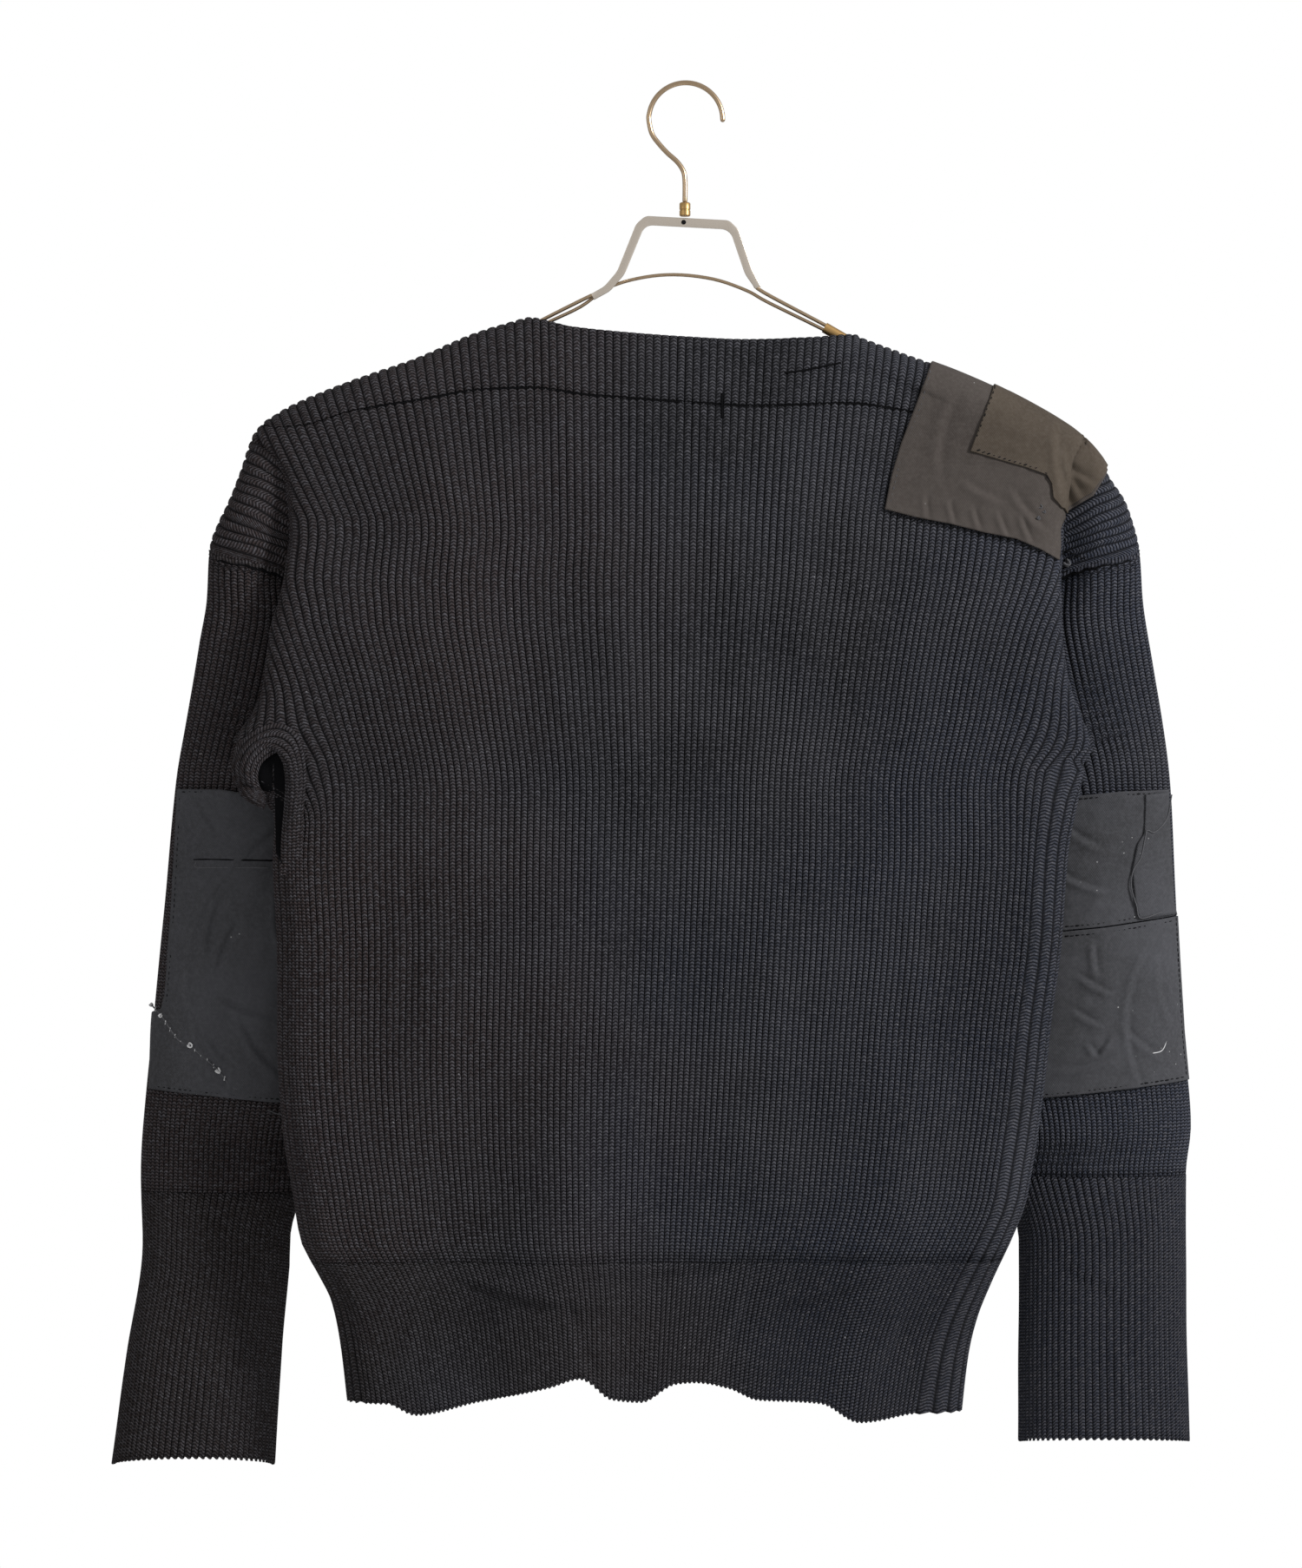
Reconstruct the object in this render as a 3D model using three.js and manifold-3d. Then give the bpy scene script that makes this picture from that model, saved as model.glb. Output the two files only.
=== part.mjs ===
// A ribbed wool work sweater, darned and patched, hanging on a wire hanger.
// Millimetres, +Z up. The origin is the inside top of the hook, where it bears on its rail.
// The garment's back faces -Y, its front faces +Y, and X runs across the shoulders.
import * as THREE from 'three';
import Module from 'manifold-3d';

const wasm = await Module();
wasm.setup();

// ---- driving sizes ----
const knitWall = 3;
const patchWall = 1;
const seamGap = 0.3;
const halfRibs = 64;            // ribs from a side seam to the middle of a panel
const shoulderRibs = 43.4;      // of those, the ribs that end on the shoulder line
const sleeveRibs = 36;          // ribs in half a sleeve
const armTop = -294;            // outer end of the armhole seam
const armFold = -312;           // where that seam turns down into the fold
const underarm = -432;
const sleeveFree = -470;        // here the sleeve hangs free of the body
const bandTop = -742;           // the body's ribbed band starts
const cuffTop = { left: -703, right: -693 };
const cuffEnd = { left: -879, right: -864 };

const knitMaterial = new THREE.MeshStandardMaterial({ color: 0x2b2c30, roughness: 0.95 });
const bandMaterial = new THREE.MeshStandardMaterial({ color: 0x26272b, roughness: 0.95 });
const twillMaterial = new THREE.MeshStandardMaterial({ color: 0x37332f, roughness: 0.85 });
const elbowMaterial = new THREE.MeshStandardMaterial({ color: 0x33353a, roughness: 0.85 });
const chromeMaterial = new THREE.MeshStandardMaterial({ color: 0xb8b4ae, roughness: 0.18, metalness: 1 });
const brassMaterial = new THREE.MeshStandardMaterial({ color: 0xb08a4a, roughness: 0.3, metalness: 1 });

// ---- smooth tables: rows of [height, value], highest first ----
function along(table, height) {
  const last = table.length - 1;
  if (height >= table[0][0]) return table[0][1];
  if (height <= table[last][0]) return table[last][1];
  let i = 0;
  while (table[i + 1][0] > height) i += 1;
  const slope = (a, b) => (table[b][1] - table[a][1]) / (table[b][0] - table[a][0]);
  const here = slope(i, i + 1);
  const tangent = (a, b) => (a * b > 0 ? (2 * a * b) / (a + b) : 0);
  const m0 = i > 0 ? tangent(slope(i - 1, i), here) : here;
  const m1 = i + 2 <= last ? tangent(here, slope(i + 1, i + 2)) : here;
  const span = table[i + 1][0] - table[i][0];
  const u = (height - table[i][0]) / span;
  const rise = u * u * (3 - 2 * u);
  const hold = u * (1 - u) * (1 - u) * m0 - u * u * (1 - u) * m1;
  return table[i][1] + (table[i + 1][1] - table[i][1]) * rise + hold * span;
}

const mix = (a, b, u) => a + (b - a) * u;
const clamp = (v, low, high) => Math.min(high, Math.max(low, v));
const ease = (u) => u * u * (3 - 2 * u);

// ---- the outline: distance out from the hook's line, by height ----
const outline = {
  left: {
    sign: -1,
    edge: [[-147, 100.7], [-155.5, 130], [-173, 172], [-191, 223], [-206.5, 257], [-217, 271],
      [-225, 275.5], [-240, 280.5], [-260, 288], [-294, 301.5], [-325, 303.5], [-352, 308.5],
      [-405, 318], [-440, 324.5], [-492, 330.5], [-599, 341.5], [-695, 349], [-736, 348],
      [-805, 358], [-879, 368]],
    fold: [[-225, 275.5], [-230, 266], [-238, 257], [-252, 250], [-284, 247.5], [-305, 251], [-328, 256],
      [-344, 261], [-383, 266], [-400, 273.5], [-412, 281], [-427, 283.5], [-438, 281],
      [-451, 266], [-465, 258], [-489, 259.5], [-548, 257], [-606, 257], [-661, 253.5],
      [-696, 248], [-729, 242.5], [-751, 231.5], [-768, 223.5], [-791, 218.5], [-842, 212.5]],
    neck: -147,
    seamTurn: 1.55,
  },
  right: {
    sign: 1,
    edge: [[-158.8, 110], [-168, 134], [-182.5, 174], [-201, 214], [-221.5, 247.5], [-235, 261],
      [-251, 271], [-264, 279.5], [-294, 288], [-324, 290.5], [-364, 297.5], [-430, 308.5],
      [-460, 311.5], [-533, 316], [-599, 320], [-661, 325], [-692, 322], [-789, 322.5],
      [-864, 324.5]],
    fold: [[-225, 251.5], [-230, 248], [-238, 243], [-252, 239.5], [-280, 236.5], [-305, 236.5], [-346, 237.5],
      [-372, 240.5], [-390, 245.5], [-405, 251.5], [-420, 256], [-431, 251.5], [-449, 248],
      [-484, 241.5], [-545, 237], [-594, 230.5], [-641, 225.5], [-688, 218.5], [-705, 215.5],
      [-727, 207], [-754, 194.5], [-778, 185], [-803, 179], [-842, 174.5]],
    neck: -158.8,
    seamTurn: 0.55,
  },
};

// The wall's middle lies inside the outline by half its thickness, on slopes and on sides alike.
const edgeAt = (name, height) => along(outline[name].edge, height + 1) - 1.2;
const foldAt = (name, height) => along(outline[name].fold, height) - 1.2;

const middle = [[-147, 5.5], [-440, -1], [-700, -12], [-842, -19]];
const neckEdge = [[-110, -147], [-98, -148.5], [-71, -154.5], [-39, -158], [0, -161], [40, -162.8],
  [85, -161.2], [101, -159.5], [112, -158.8]];
const yokeSeam = [[-275, -219.5], [-243, -218], [-208, -208], [-166, -201], [-130, -195], [-98, -193.5],
  [-60, -198], [-15, -201.5], [48, -205], [103, -203.5], [138, -208], [200, -223], [240, -239]];
const hemEdge = [[-214, -831], [-196, -838], [-146, -830], [-94, -820], [-71, -814.5], [-47, -828],
  [-25, -830], [0, -819], [14, -818], [38, -821.5], [60, -829], [106, -831], [136, -842], [173, -837]];

// ---- depths front to back, by height ----
const backDepth = [[-147, 14], [-200, 20], [-300, 27], [-430, 31], [-600, 33], [-740, 31], [-800, 25], [-842, 27]];
const frontDepth = [[-147, 14], [-200, 19], [-300, 23], [-430, 25], [-600, 27], [-740, 27], [-842, 23]];
const capBack = [[-217, 0], [-226, -5], [-232, -11], [-240, -14], [-280, -15], [-305, -13],
  [-345, -5], [-380, -1], [-432, 1], [-446, 4], [-470, 7], [-560, 9], [-650, 10], [-700, 14], [-880, 15]];
const capFront = [[-217, 0], [-226, 5], [-232, 11], [-240, 15], [-280, 18], [-312, 21], [-352, 29],
  [-400, 38], [-432, 42], [-470, 52], [-560, 66], [-650, 64], [-700, 58], [-880, 56]];
const capMid = [[-290, 0], [-312, 3], [-352, 8], [-400, 14], [-432, 17], [-470, 24], [-560, 34], [-700, 35], [-880, 35]];
const valleyDepth = [[-225, 0], [-230, -10], [-240, -15], [-252, -13], [-270, -10], [-300, -5],
  [-330, 0], [-365, 4], [-432, 4], [-470, 0], [-540, -4], [-842, -6]];
const foldDepth = [[-225, 0], [-230, -11], [-240, -16], [-280, -17], [-312, -18], [-432, -21],
  [-470, -18], [-842, -8]];
const foldRound = [[-147, 48], [-200, 50], [-225, 38], [-235, 28], [-250, 22], [-700, 22], [-842, 30]];
const overlap = [[-225, 0], [-240, -3], [-300, -3], [-312, 0], [-335, 18], [-365, 26], [-432, 40], [-470, 30], [-842, 30]];
const innerGap = [[-432, 0], [-470, -12], [-560, -30], [-650, -28], [-700, -12], [-736, -2], [-880, -4]];
const ribsAtValley = {
  left: [[-225, 12], [-245, 11], [-258, 9], [-281, 6], [-294, 3], [-312, 0]],
  right: [[-225, 14.8], [-236, 13.8], [-245, 12.6], [-258, 10.2], [-281, 6.6], [-294, 3.4], [-312, 0]],
};
const ribsAtFold = {
  left: [[-225, 12], [-240, 12.6], [-309, 12], [-350, 8.5], [-390, 5], [-425, 2.2], [-450, 0]],
  right: [[-225, 14.8], [-240, 14.7], [-262, 13.8], [-309, 12], [-350, 8.5], [-390, 5], [-425, 2.2], [-450, 0]],
};
const sleeveRibsIn = [[-294, 0], [-312, 15], [-350, 19], [-400, 26], [-432, 32], [-470, 36]];

// ---- ribs on the shoulder line, evenly spaced along it ----
function shoulderLine(name) {
  const points = [];
  const top = outline[name].edge[0][0] - 1;
  const steps = 60;
  for (let i = 0; i <= steps; i += 1) {
    const height = mix(armTop, top, i / steps);
    points.push([height, edgeAt(name, height)]);
  }
  const lengths = [0];
  for (let i = 1; i <= steps; i += 1) {
    lengths.push(lengths[i - 1] + Math.hypot(points[i][0] - points[i - 1][0], points[i][1] - points[i - 1][1]));
  }
  const total = lengths[steps];
  return {
    heightOf(rib) {
      const wanted = clamp(rib / shoulderRibs, 0, 1) * total;
      let i = 0;
      while (i < steps - 1 && lengths[i + 1] < wanted) i += 1;
      const u = (wanted - lengths[i]) / (lengths[i + 1] - lengths[i]);
      return mix(points[i][0], points[i + 1][0], u);
    },
    ribAt(height) {
      if (height <= armTop) return 0;
      const u = clamp((height - armTop) / (top - armTop), 0, 1) * steps;
      const i = Math.min(steps - 1, Math.floor(u));
      return (mix(lengths[i], lengths[i + 1], u - i) / total) * shoulderRibs;
    },
  };
}
const shoulders = { left: shoulderLine('left'), right: shoulderLine('right') };

// Where a rib starts: on the shoulder line or on the neck's edge.
function ribTop(name, rib) {
  const { sign, neck } = outline[name];
  if (rib <= shoulderRibs) {
    const height = shoulders[name].heightOf(rib);
    return { out: edgeAt(name, height), height };
  }
  const corner = edgeAt(name, neck);
  const out = mix(corner, sign * along(middle, neck), (rib - shoulderRibs) / (halfRibs - shoulderRibs));
  return { out, height: byWidth(neckEdge, sign * out) };
}

function byWidth(table, x) {
  return -along(table.map(([a, b]) => [-a, -b]), -x);
}

// How far out a rib lies on the body at a height, from its start down to the level chest.
const levelChest = -276;
function ribOut(name, rib, height) {
  const { sign } = outline[name];
  const center = sign * along(middle, height);
  const lowest = Math.min(height, levelChest);
  const foldRib = along(ribsAtFold[name], lowest);
  const share = (rib - foldRib) / (halfRibs - foldRib);
  const spread = 0.3 * clamp((lowest + 450) / 140, 0, 1);
  const part = share + spread * share * (1 - share) ** 4 * (lowest > -450 ? 1 : 0);
  const level = mix(foldAt(name, lowest), sign * along(middle, lowest), part);
  if (height <= levelChest) return level;
  const top = ribTop(name, rib);
  const u = clamp((top.height - height) / (top.height - levelChest), 0, 1);
  return clamp(mix(top.out, level, u), center, edgeAt(name, height));
}

// ---- soft vertical folds in the hanging body ----
function drape(x, height, strength) {
  const grow = ease(clamp((-height - 330) / 430, 0, 1));
  const slow = Math.sin(x / 31 + 0.6 + height / 260) + 0.6 * Math.sin(x / 17.5 + 2.1 - height / 190);
  return strength * (0.8 + 4.2 * grow) * slow;
}

// ---- the armhole seam: how far round the cap it has come at a height ----
function seamShare(height) {
  return ease(clamp((armTop - height) / (armTop - armFold), 0, 1));
}

// ---- points of the body's half section ----
function quarter(fromX, fromY, toX, toY, u) {
  const turn = (u * Math.PI) / 2;
  return { out: mix(fromX, toX, 1 - Math.cos(turn)), y: mix(fromY, toY, Math.sin(turn)) };
}

function valleyPoint(name, height) {
  const out = foldAt(name, height) - along(overlap, height);
  return { out, y: along(valleyDepth, height) };
}

// part 0 to 1 runs from the valley round to the fold's edge, and 1 to 2 on to the back's level
function foldPoint(name, part, height, start) {
  const edgeOut = foldAt(name, height);
  const edgeY = along(foldDepth, height);
  if (part < 1) {
    const bulge = clamp((along(overlap, height) + 3) / 20, 0, 1);
    const c1 = { out: mix(start.out, edgeOut, 0.45), y: start.y - 5.5 * bulge };
    const c2 = { out: edgeOut + 0.5 * bulge, y: edgeY + 4 * bulge };
    const v = 1 - part;
    const b = [v * v * v, 3 * v * v * part, 3 * v * part * part, part * part * part];
    return {
      out: b[0] * start.out + b[1] * c1.out + b[2] * c2.out + b[3] * edgeOut,
      y: b[0] * start.y + b[1] * c1.y + b[2] * c2.y + b[3] * edgeY,
    };
  }
  const round = along(foldRound, height);
  return quarter(edgeOut, edgeY, edgeOut - round, -along(backDepth, height), part - 1);
}

function backLevel(name, out, height) {
  const { sign } = outline[name];
  const inside = foldAt(name, height) - along(foldRound, height) - out;
  const settle = ease(clamp(inside / 60, 0, 1));
  return -along(backDepth, height) - settle * drape(sign * out, height, 1);
}

// A point of the back, by rib (0 at the side seam) and height.
function backPoint(name, rib, height) {
  const { sign, seamTurn } = outline[name];
  const edgeOut = foldAt(name, height);
  const round = along(foldRound, height);
  const foldRib = height > -225 ? shoulders[name].ribAt(height) : along(ribsAtFold[name], height);
  let point;
  if (height < underarm) {
    // below the underarm the seam lies on the ring, part way round its edge
    const settle = ease(clamp((underarm - height) / 22, 0, 1));
    const startPart = mix(0, seamTurn, settle);
    const start = { out: edgeOut - along(overlap, height), y: along(valleyDepth, height) - 1.8 };
    const edgeRibs = 6;
    if (rib < edgeRibs) {
      point = foldPoint(name, mix(startPart, 2, rib / edgeRibs), height, start);
      return { x: sign * point.out, y: point.y, z: height };
    }
    const center = sign * along(middle, height);
    const out = mix(edgeOut - round, center, (rib - edgeRibs) / (halfRibs - edgeRibs));
    return { x: sign * out, y: backLevel(name, out, height), z: height };
  }
  if (rib >= foldRib || height > -225) {
    const from = height > -225 ? edgeAt(name, height) : edgeOut;
    const fromY = height > -225 ? -0.5 * seamGap : along(foldDepth, height);
    const out = Math.min(from, ribOut(name, rib, height));
    const inward = from - out;
    if (inward < round) {
      const turn = Math.acos(clamp(1 - inward / round, -1, 1));
      return { x: sign * out, y: mix(fromY, -along(backDepth, height), Math.sin(turn)), z: height };
    }
    return { x: sign * out, y: backLevel(name, out, height), z: height };
  }
  const valley = valleyPoint(name, height);
  const seam = seamShare(height);
  const start = { out: valley.out + 0.15, y: valley.y - 1.8 * seam };
  const valleyRib = along(ribsAtValley[name], height);
  if (rib >= valleyRib) {
    const part = clamp((rib - valleyRib) / (foldRib - valleyRib), 0, 1);
    point = foldPoint(name, part, height, start);
    return { x: sign * point.out, y: point.y, z: height };
  }
  const edgeRib = shoulders[name].ribAt(height);
  let part = clamp((rib - edgeRib) / (valleyRib - edgeRib), 0, 1);
  if (height < armTop) part = mix(seam, 1, clamp(rib / valleyRib, 0, 1));
  point = capPoint(name, part, height, start, -1);
  if (point.y > -0.5 * seamGap) point.y = -0.5 * seamGap;
  return { x: sign * point.out, y: point.y, z: height };
}

// The cap and the sleeve's face, part 0 at the outer edge and part 1 at the valley; facing -1 is
// the back and +1 the front.
function capPoint(name, part, height, valley, facing) {
  const edgeOut = edgeAt(name, height);
  const crown = mix(edgeOut, valley.out, 0.5);
  const crownY = along(facing < 0 ? capBack : capFront, height);
  const edgeY = along(capMid, height);
  if (part < 0.5) return quarter(edgeOut, edgeY, crown, crownY, part * 2);
  const u = part * 2 - 1;
  const free = clamp((-352 - height) / 80, 0, 1);
  const soft = { out: mix(crown, valley.out, u), y: mix(crownY, valley.y, ease(u)) };
  const turn = (u * Math.PI) / 2;
  const round = { out: mix(crown, valley.out, Math.sin(turn)), y: mix(crownY, valley.y, 1 - Math.cos(turn)) };
  const share = facing < 0 ? free : clamp((-300 - height) / 60, 0, 1);
  return { out: mix(soft.out, round.out, share), y: mix(soft.y, round.y, share) };
}

// ---- the front ----
const frontValley = [[-225, 0], [-230, 10], [-240, 17], [-280, 17], [-312, 14], [-345, 10.5], [-390, 6.5],
  [-420, 2.6], [-432, 2.2]];

function frontStart(name, height) {
  const valley = valleyPoint(name, height);
  const y = along(frontValley, height);
  const apart = clamp((y - valley.y) / 6, 0, 1);
  return { out: valley.out - 2.4 + 3.8 * apart, y };
}

function frontLevel(name, out, height, startOut, startY) {
  const { sign } = outline[name];
  const depth = along(frontDepth, height);
  const flatFrom = startOut - mix(8, 42, clamp((-height - 360) / 80, 0, 1));
  const rise = ease(clamp((flatFrom - out) / 62, 0, 1));
  return mix(startY, depth - drape(sign * out, height, 0.8) * rise, rise);
}

function frontPoint(name, rib, height) {
  const { sign, seamTurn } = outline[name];
  if (height < underarm) {
    const settle = ease(clamp((underarm - height) / 22, 0, 1));
    const edgeOut = foldAt(name, height);
    const start = { out: edgeOut - along(overlap, height), y: along(valleyDepth, height) - 1.8 };
    const seamPart = mix(0, seamTurn, settle);
    const wrapRibs = mix(0.01, seamTurn > 1 ? 9 : 6, settle);
    if (rib < wrapRibs) {
      const point = foldPoint(name, mix(seamPart, 0, rib / wrapRibs), height, start);
      return { x: sign * point.out, y: point.y, z: height };
    }
    const center = sign * along(middle, height);
    const out = mix(start.out, center, (rib - wrapRibs) / (halfRibs - wrapRibs));
    return { x: sign * out, y: frontLevel(name, out, height, start.out, start.y), z: height };
  }
  const center = sign * along(middle, height);
  if (height > -225) {
    const from = edgeAt(name, height);
    const out = Math.min(from, ribOut(name, rib, height));
    const round = along(foldRound, height);
    const inward = from - out;
    const turn = Math.acos(clamp(1 - inward / round, -1, 1));
    const depth = along(frontDepth, height);
    const y = inward < round ? mix(0.5 * seamGap, depth, Math.sin(turn)) : depth;
    return { x: sign * out, y, z: height };
  }
  const start = frontStart(name, height);
  const valleyRib = along(ribsAtValley[name], height);
  if (rib >= valleyRib) {
    const out = mix(start.out, center, (rib - valleyRib) / (halfRibs - valleyRib));
    return { x: sign * out, y: frontLevel(name, out, height, start.out, start.y), z: height };
  }
  const edgeRib = shoulders[name].ribAt(height);
  const seam = seamShare(height);
  let part = clamp((rib - edgeRib) / (valleyRib - edgeRib), 0, 1);
  if (height < armTop) part = mix(seam, 1, clamp(rib / valleyRib, 0, 1));
  const point = capPoint(name, part, height, start, 1);
  if (point.y < 0.5 * seamGap) point.y = 0.5 * seamGap;
  return { x: sign * point.out, y: point.y, z: height };
}

// ---- the sleeves: rib 0 is the outer edge, plus is the back half and minus the front half ----
function sleeveTop(rib) {
  let high = armTop;
  let low = sleeveFree;
  for (let i = 0; i < 40; i += 1) {
    const guess = (high + low) / 2;
    if (along(sleeveRibsIn, guess) < Math.abs(rib)) high = guess;
    else low = guess;
  }
  return high - 1.3;
}

function sleevePoint(name, rib, height) {
  const { sign } = outline[name];
  const facing = rib >= 0 ? -1 : 1;
  const valley = valleyPoint(name, Math.max(height, underarm));
  const free = ease(clamp((underarm - height) / (underarm - sleeveFree), 0, 1));
  const foldOut = foldAt(name, underarm) - along(overlap, underarm);
  const shift = edgeAt(name, height) - edgeAt(name, underarm);
  let target;
  if (height < underarm) {
    const seamY = facing < 0 ? -0.2 : 0.2;
    target = {
      out: foldOut + along(innerGap, height) + 0.6 * shift,
      y: mix(valley.y + 2.8, along(capMid, height), free) + seamY,
    };
  } else if (facing < 0) {
    target = { out: valley.out + 0.4, y: valley.y + 2.8 };
  } else {
    target = { out: valley.out, y: Math.max(along(frontValley, height) + 4.4, valley.y + 2.9) };
  }
  const ribsHere = clamp(along(sleeveRibsIn, height), 0.5, sleeveRibs);
  const seam = seamShare(height + seamGap);
  const part = clamp(Math.abs(rib) / ribsHere, 0, 1) * seam;
  const point = capPoint(name, part, height, target, facing);
  return { x: sign * point.out, y: point.y, z: height };
}

// ---- solids: a grid of points thickened both ways into a closed wall ----
// pointAt(across, j, step) takes any value across and a step down the surface in millimetres, so a
// normal at a seam looks past the seam. The back stays behind y = 0 at the shoulders, the front ahead.
// The first rows' squares are cut along the other diagonal when turned says how many.
function wall({ pointAt, values, rows, thickness, lift = 0, closed = false, reach = 0.8, level = {}, keep = 0, turned = 0 }) {
  const columns = values.length;
  const points = [];
  const normals = [];
  for (let j = 0; j < rows; j += 1) {
    for (let i = 0; i < columns; i += 1) {
      const point = new THREE.Vector3().copy(pointAt(values[i], j, 0));
      const across = new THREE.Vector3().copy(pointAt(values[i] + reach, j, 0))
        .sub(pointAt(values[i] - reach, j, 0));
      const down = new THREE.Vector3().copy(pointAt(values[i], j, 2)).sub(pointAt(values[i], j, -2));
      const normal = across.cross(down).normalize();
      if (Math.abs(point.y) < seamGap && point.z > armTop - 4) normal.setY(0).normalize();
      if ((level.top && j === 0) || (level.end && j === rows - 1)) normal.setZ(0).normalize();
      points.push(point);
      normals.push(normal);
    }
  }
  const positions = [];
  const half = thickness / 2;
  [half, -half].forEach((side) => {
    points.forEach((p, k) => {
      const q = p.clone().addScaledVector(normals[k], lift + side);
      if (keep && p.z > armTop - 4) q.y = keep * Math.max(keep * q.y, 0.5 * seamGap);
      positions.push(q.x, q.y, q.z);
    });
  });
  const count = points.length;
  const faces = [];
  const quad = (a, b, c, d) => faces.push(a, b, c, a, c, d);
  const wide = closed ? columns : columns - 1;
  const id = (i, j) => j * columns + (i % columns);
  for (let j = 0; j < rows - 1; j += 1) {
    for (let i = 0; i < wide; i += 1) {
      const [a, b, c, d] = [id(i, j), id(i + 1, j), id(i + 1, j + 1), id(i, j + 1)];
      if (j < turned) {
        quad(b, c, d, a);
        quad(count + d, count + c, count + b, count + a);
      } else {
        quad(a, b, c, d);
        quad(count + a, count + d, count + c, count + b);
      }
    }
  }
  for (let i = 0; i < wide; i += 1) {
    const j = rows - 1;
    quad(id(i + 1, 0), id(i, 0), count + id(i, 0), count + id(i + 1, 0));
    quad(id(i, j), id(i + 1, j), count + id(i + 1, j), count + id(i, j));
  }
  if (!closed) {
    for (let j = 0; j < rows - 1; j += 1) {
      const i = columns - 1;
      quad(id(0, j), id(0, j + 1), count + id(0, j + 1), count + id(0, j));
      quad(id(i, j + 1), id(i, j), count + id(i, j), count + id(i, j + 1));
    }
  }
  const geometry = new THREE.BufferGeometry();
  geometry.setAttribute('position', new THREE.Float32BufferAttribute(positions, 3));
  geometry.setIndex(faces);
  return geometry;
}

// Runs a half section's point function from the left seam (rib 0) to the right one (rib 128).
const wholeRibs = 2 * halfRibs;
const sideOf = (rib) => (rib <= halfRibs ? 'left' : 'right');
const ownRib = (rib) => (rib <= halfRibs ? rib : wholeRibs - rib);

const halfColumns = [0.04, 2, 4, 6, 8, 10, 12, 13.4, 14, 17, 22, 29, 36, 43.4, 53];
const ribColumns = [...halfColumns, halfRibs, ...halfColumns.map((rib) => wholeRibs - rib).reverse()];

// The rows of a panel: close together at its top and where the arms leave the body.
const upperShares = [0, 0.04, 0.12, 0.26, 0.48, 0.74, 1];
const armRows = [0.2, 0.4, 0.6, 0.8, 1];
const freeRows = [0.3, 0.6, 1];
const lowerRows = [0.25, 0.5, 0.75, 1];
function panelHeights(top) {
  return [
    ...upperShares.map((u) => mix(top, armFold - 1, u)),
    ...armRows.map((u) => mix(armFold - 1, underarm, u)),
    ...freeRows.map((u) => mix(underarm, sleeveFree, u)),
    ...lowerRows.map((u) => mix(sleeveFree, bandTop + 0.5 * seamGap, u)),
  ];
}

// The seam under the yoke strip: the panel's top between the two shoulders.
const yokeEnd = 13.4;
function yokeHeight(name, rib) {
  const start = ribTop(name, rib).height;
  const { sign } = outline[name];
  let height = start - 10;
  for (let i = 0; i < 4; i += 1) height = byWidth(yokeSeam, sign * ribOut(name, rib, Math.min(start, height)));
  const share = clamp((rib - yokeEnd) / 1.5, 0, 1);
  return mix(start, Math.min(start, height), share);
}

function backTop(name, rib) {
  return yokeHeight(name, rib) - (rib > yokeEnd ? 0.5 * seamGap : 0);
}

const frontNeckDrop = 13;
function frontTop(name, rib) {
  const start = ribTop(name, rib);
  const share = ease(clamp((rib - shoulderRibs) / 12, 0, 1));
  return start.height - frontNeckDrop * share - (rib > shoulderRibs ? 1 : 0);
}

// A point of a panel, moved a step down its surface but not above its rib's start.
function stepped(pointOf, name, own, height, step) {
  return pointOf(name, own, Math.min(height - step, ribTop(name, Math.max(0, own)).height));
}

function panel(pointOf, topOf, keep) {
  return wall({
    pointAt: (rib, j, step) => {
      const name = sideOf(rib);
      const own = Math.max(0, ownRib(rib));
      return stepped(pointOf, name, own, panelHeights(topOf(name, own))[j], step);
    },
    values: ribColumns,
    rows: panelHeights(0).length,
    thickness: knitWall,
    level: { end: true },
    keep,
  });
}

// The strip between the yoke's seam and the neck's edge, over both shoulders.
const yokeColumns = ribColumns.filter((rib) => rib > yokeEnd + 0.1 && rib < wholeRibs - yokeEnd - 0.1);
const yokeShares = [0, 0.1, 0.3, 0.62, 1];
function yokeLow(name, rib) {
  const slack = 1.6 * clamp((22 - rib) / 8, 0, 1);
  return Math.min(ribTop(name, rib).height - 1, yokeHeight(name, rib) + 0.5 * seamGap + slack);
}

function yokeStrip() {
  return wall({
    pointAt: (rib, j, step) => {
      const name = sideOf(rib);
      const own = ownRib(rib);
      const top = ribTop(name, own).height;
      return stepped(backPoint, name, own, mix(top, yokeLow(name, own), yokeShares[j]), step);
    },
    values: yokeColumns,
    rows: yokeShares.length,
    thickness: knitWall,
    keep: -1,
  });
}

// The body's ribbed bands continue the panels down to the waved hem.
const bandShares = [0, 0.3, 0.65, 1];
function bodyBand(pointOf) {
  return wall({
    pointAt: (rib, j, step) => {
      const name = sideOf(rib);
      const own = ownRib(rib);
      const spot = pointOf(name, own, bandTop);
      const low = byWidth(hemEdge, spot.x);
      return pointOf(name, own, mix(bandTop - 0.5 * seamGap, low, bandShares[j]) - step);
    },
    values: ribColumns,
    rows: bandShares.length,
    thickness: knitWall,
    level: { top: true },
  });
}

// ---- sleeves and cuffs ----
const sleeveHalf = [0, 4, 8, 12, 16, 20, 24, 28, 32, 35.9];
const sleeveColumns = [...sleeveHalf.slice(1).map((rib) => -rib).reverse(), ...sleeveHalf];
const armShares = [0, 0.16, 0.34, 0.54, 0.78, 1];
const foreShares = [0.25, 0.5, 0.75, 1];
function sleeveHeights(top, low) {
  return [
    ...armShares.map((u) => mix(top, sleeveFree - 4, u)),
    ...foreShares.map((u) => mix(sleeveFree - 4, low, u)),
  ];
}

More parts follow.
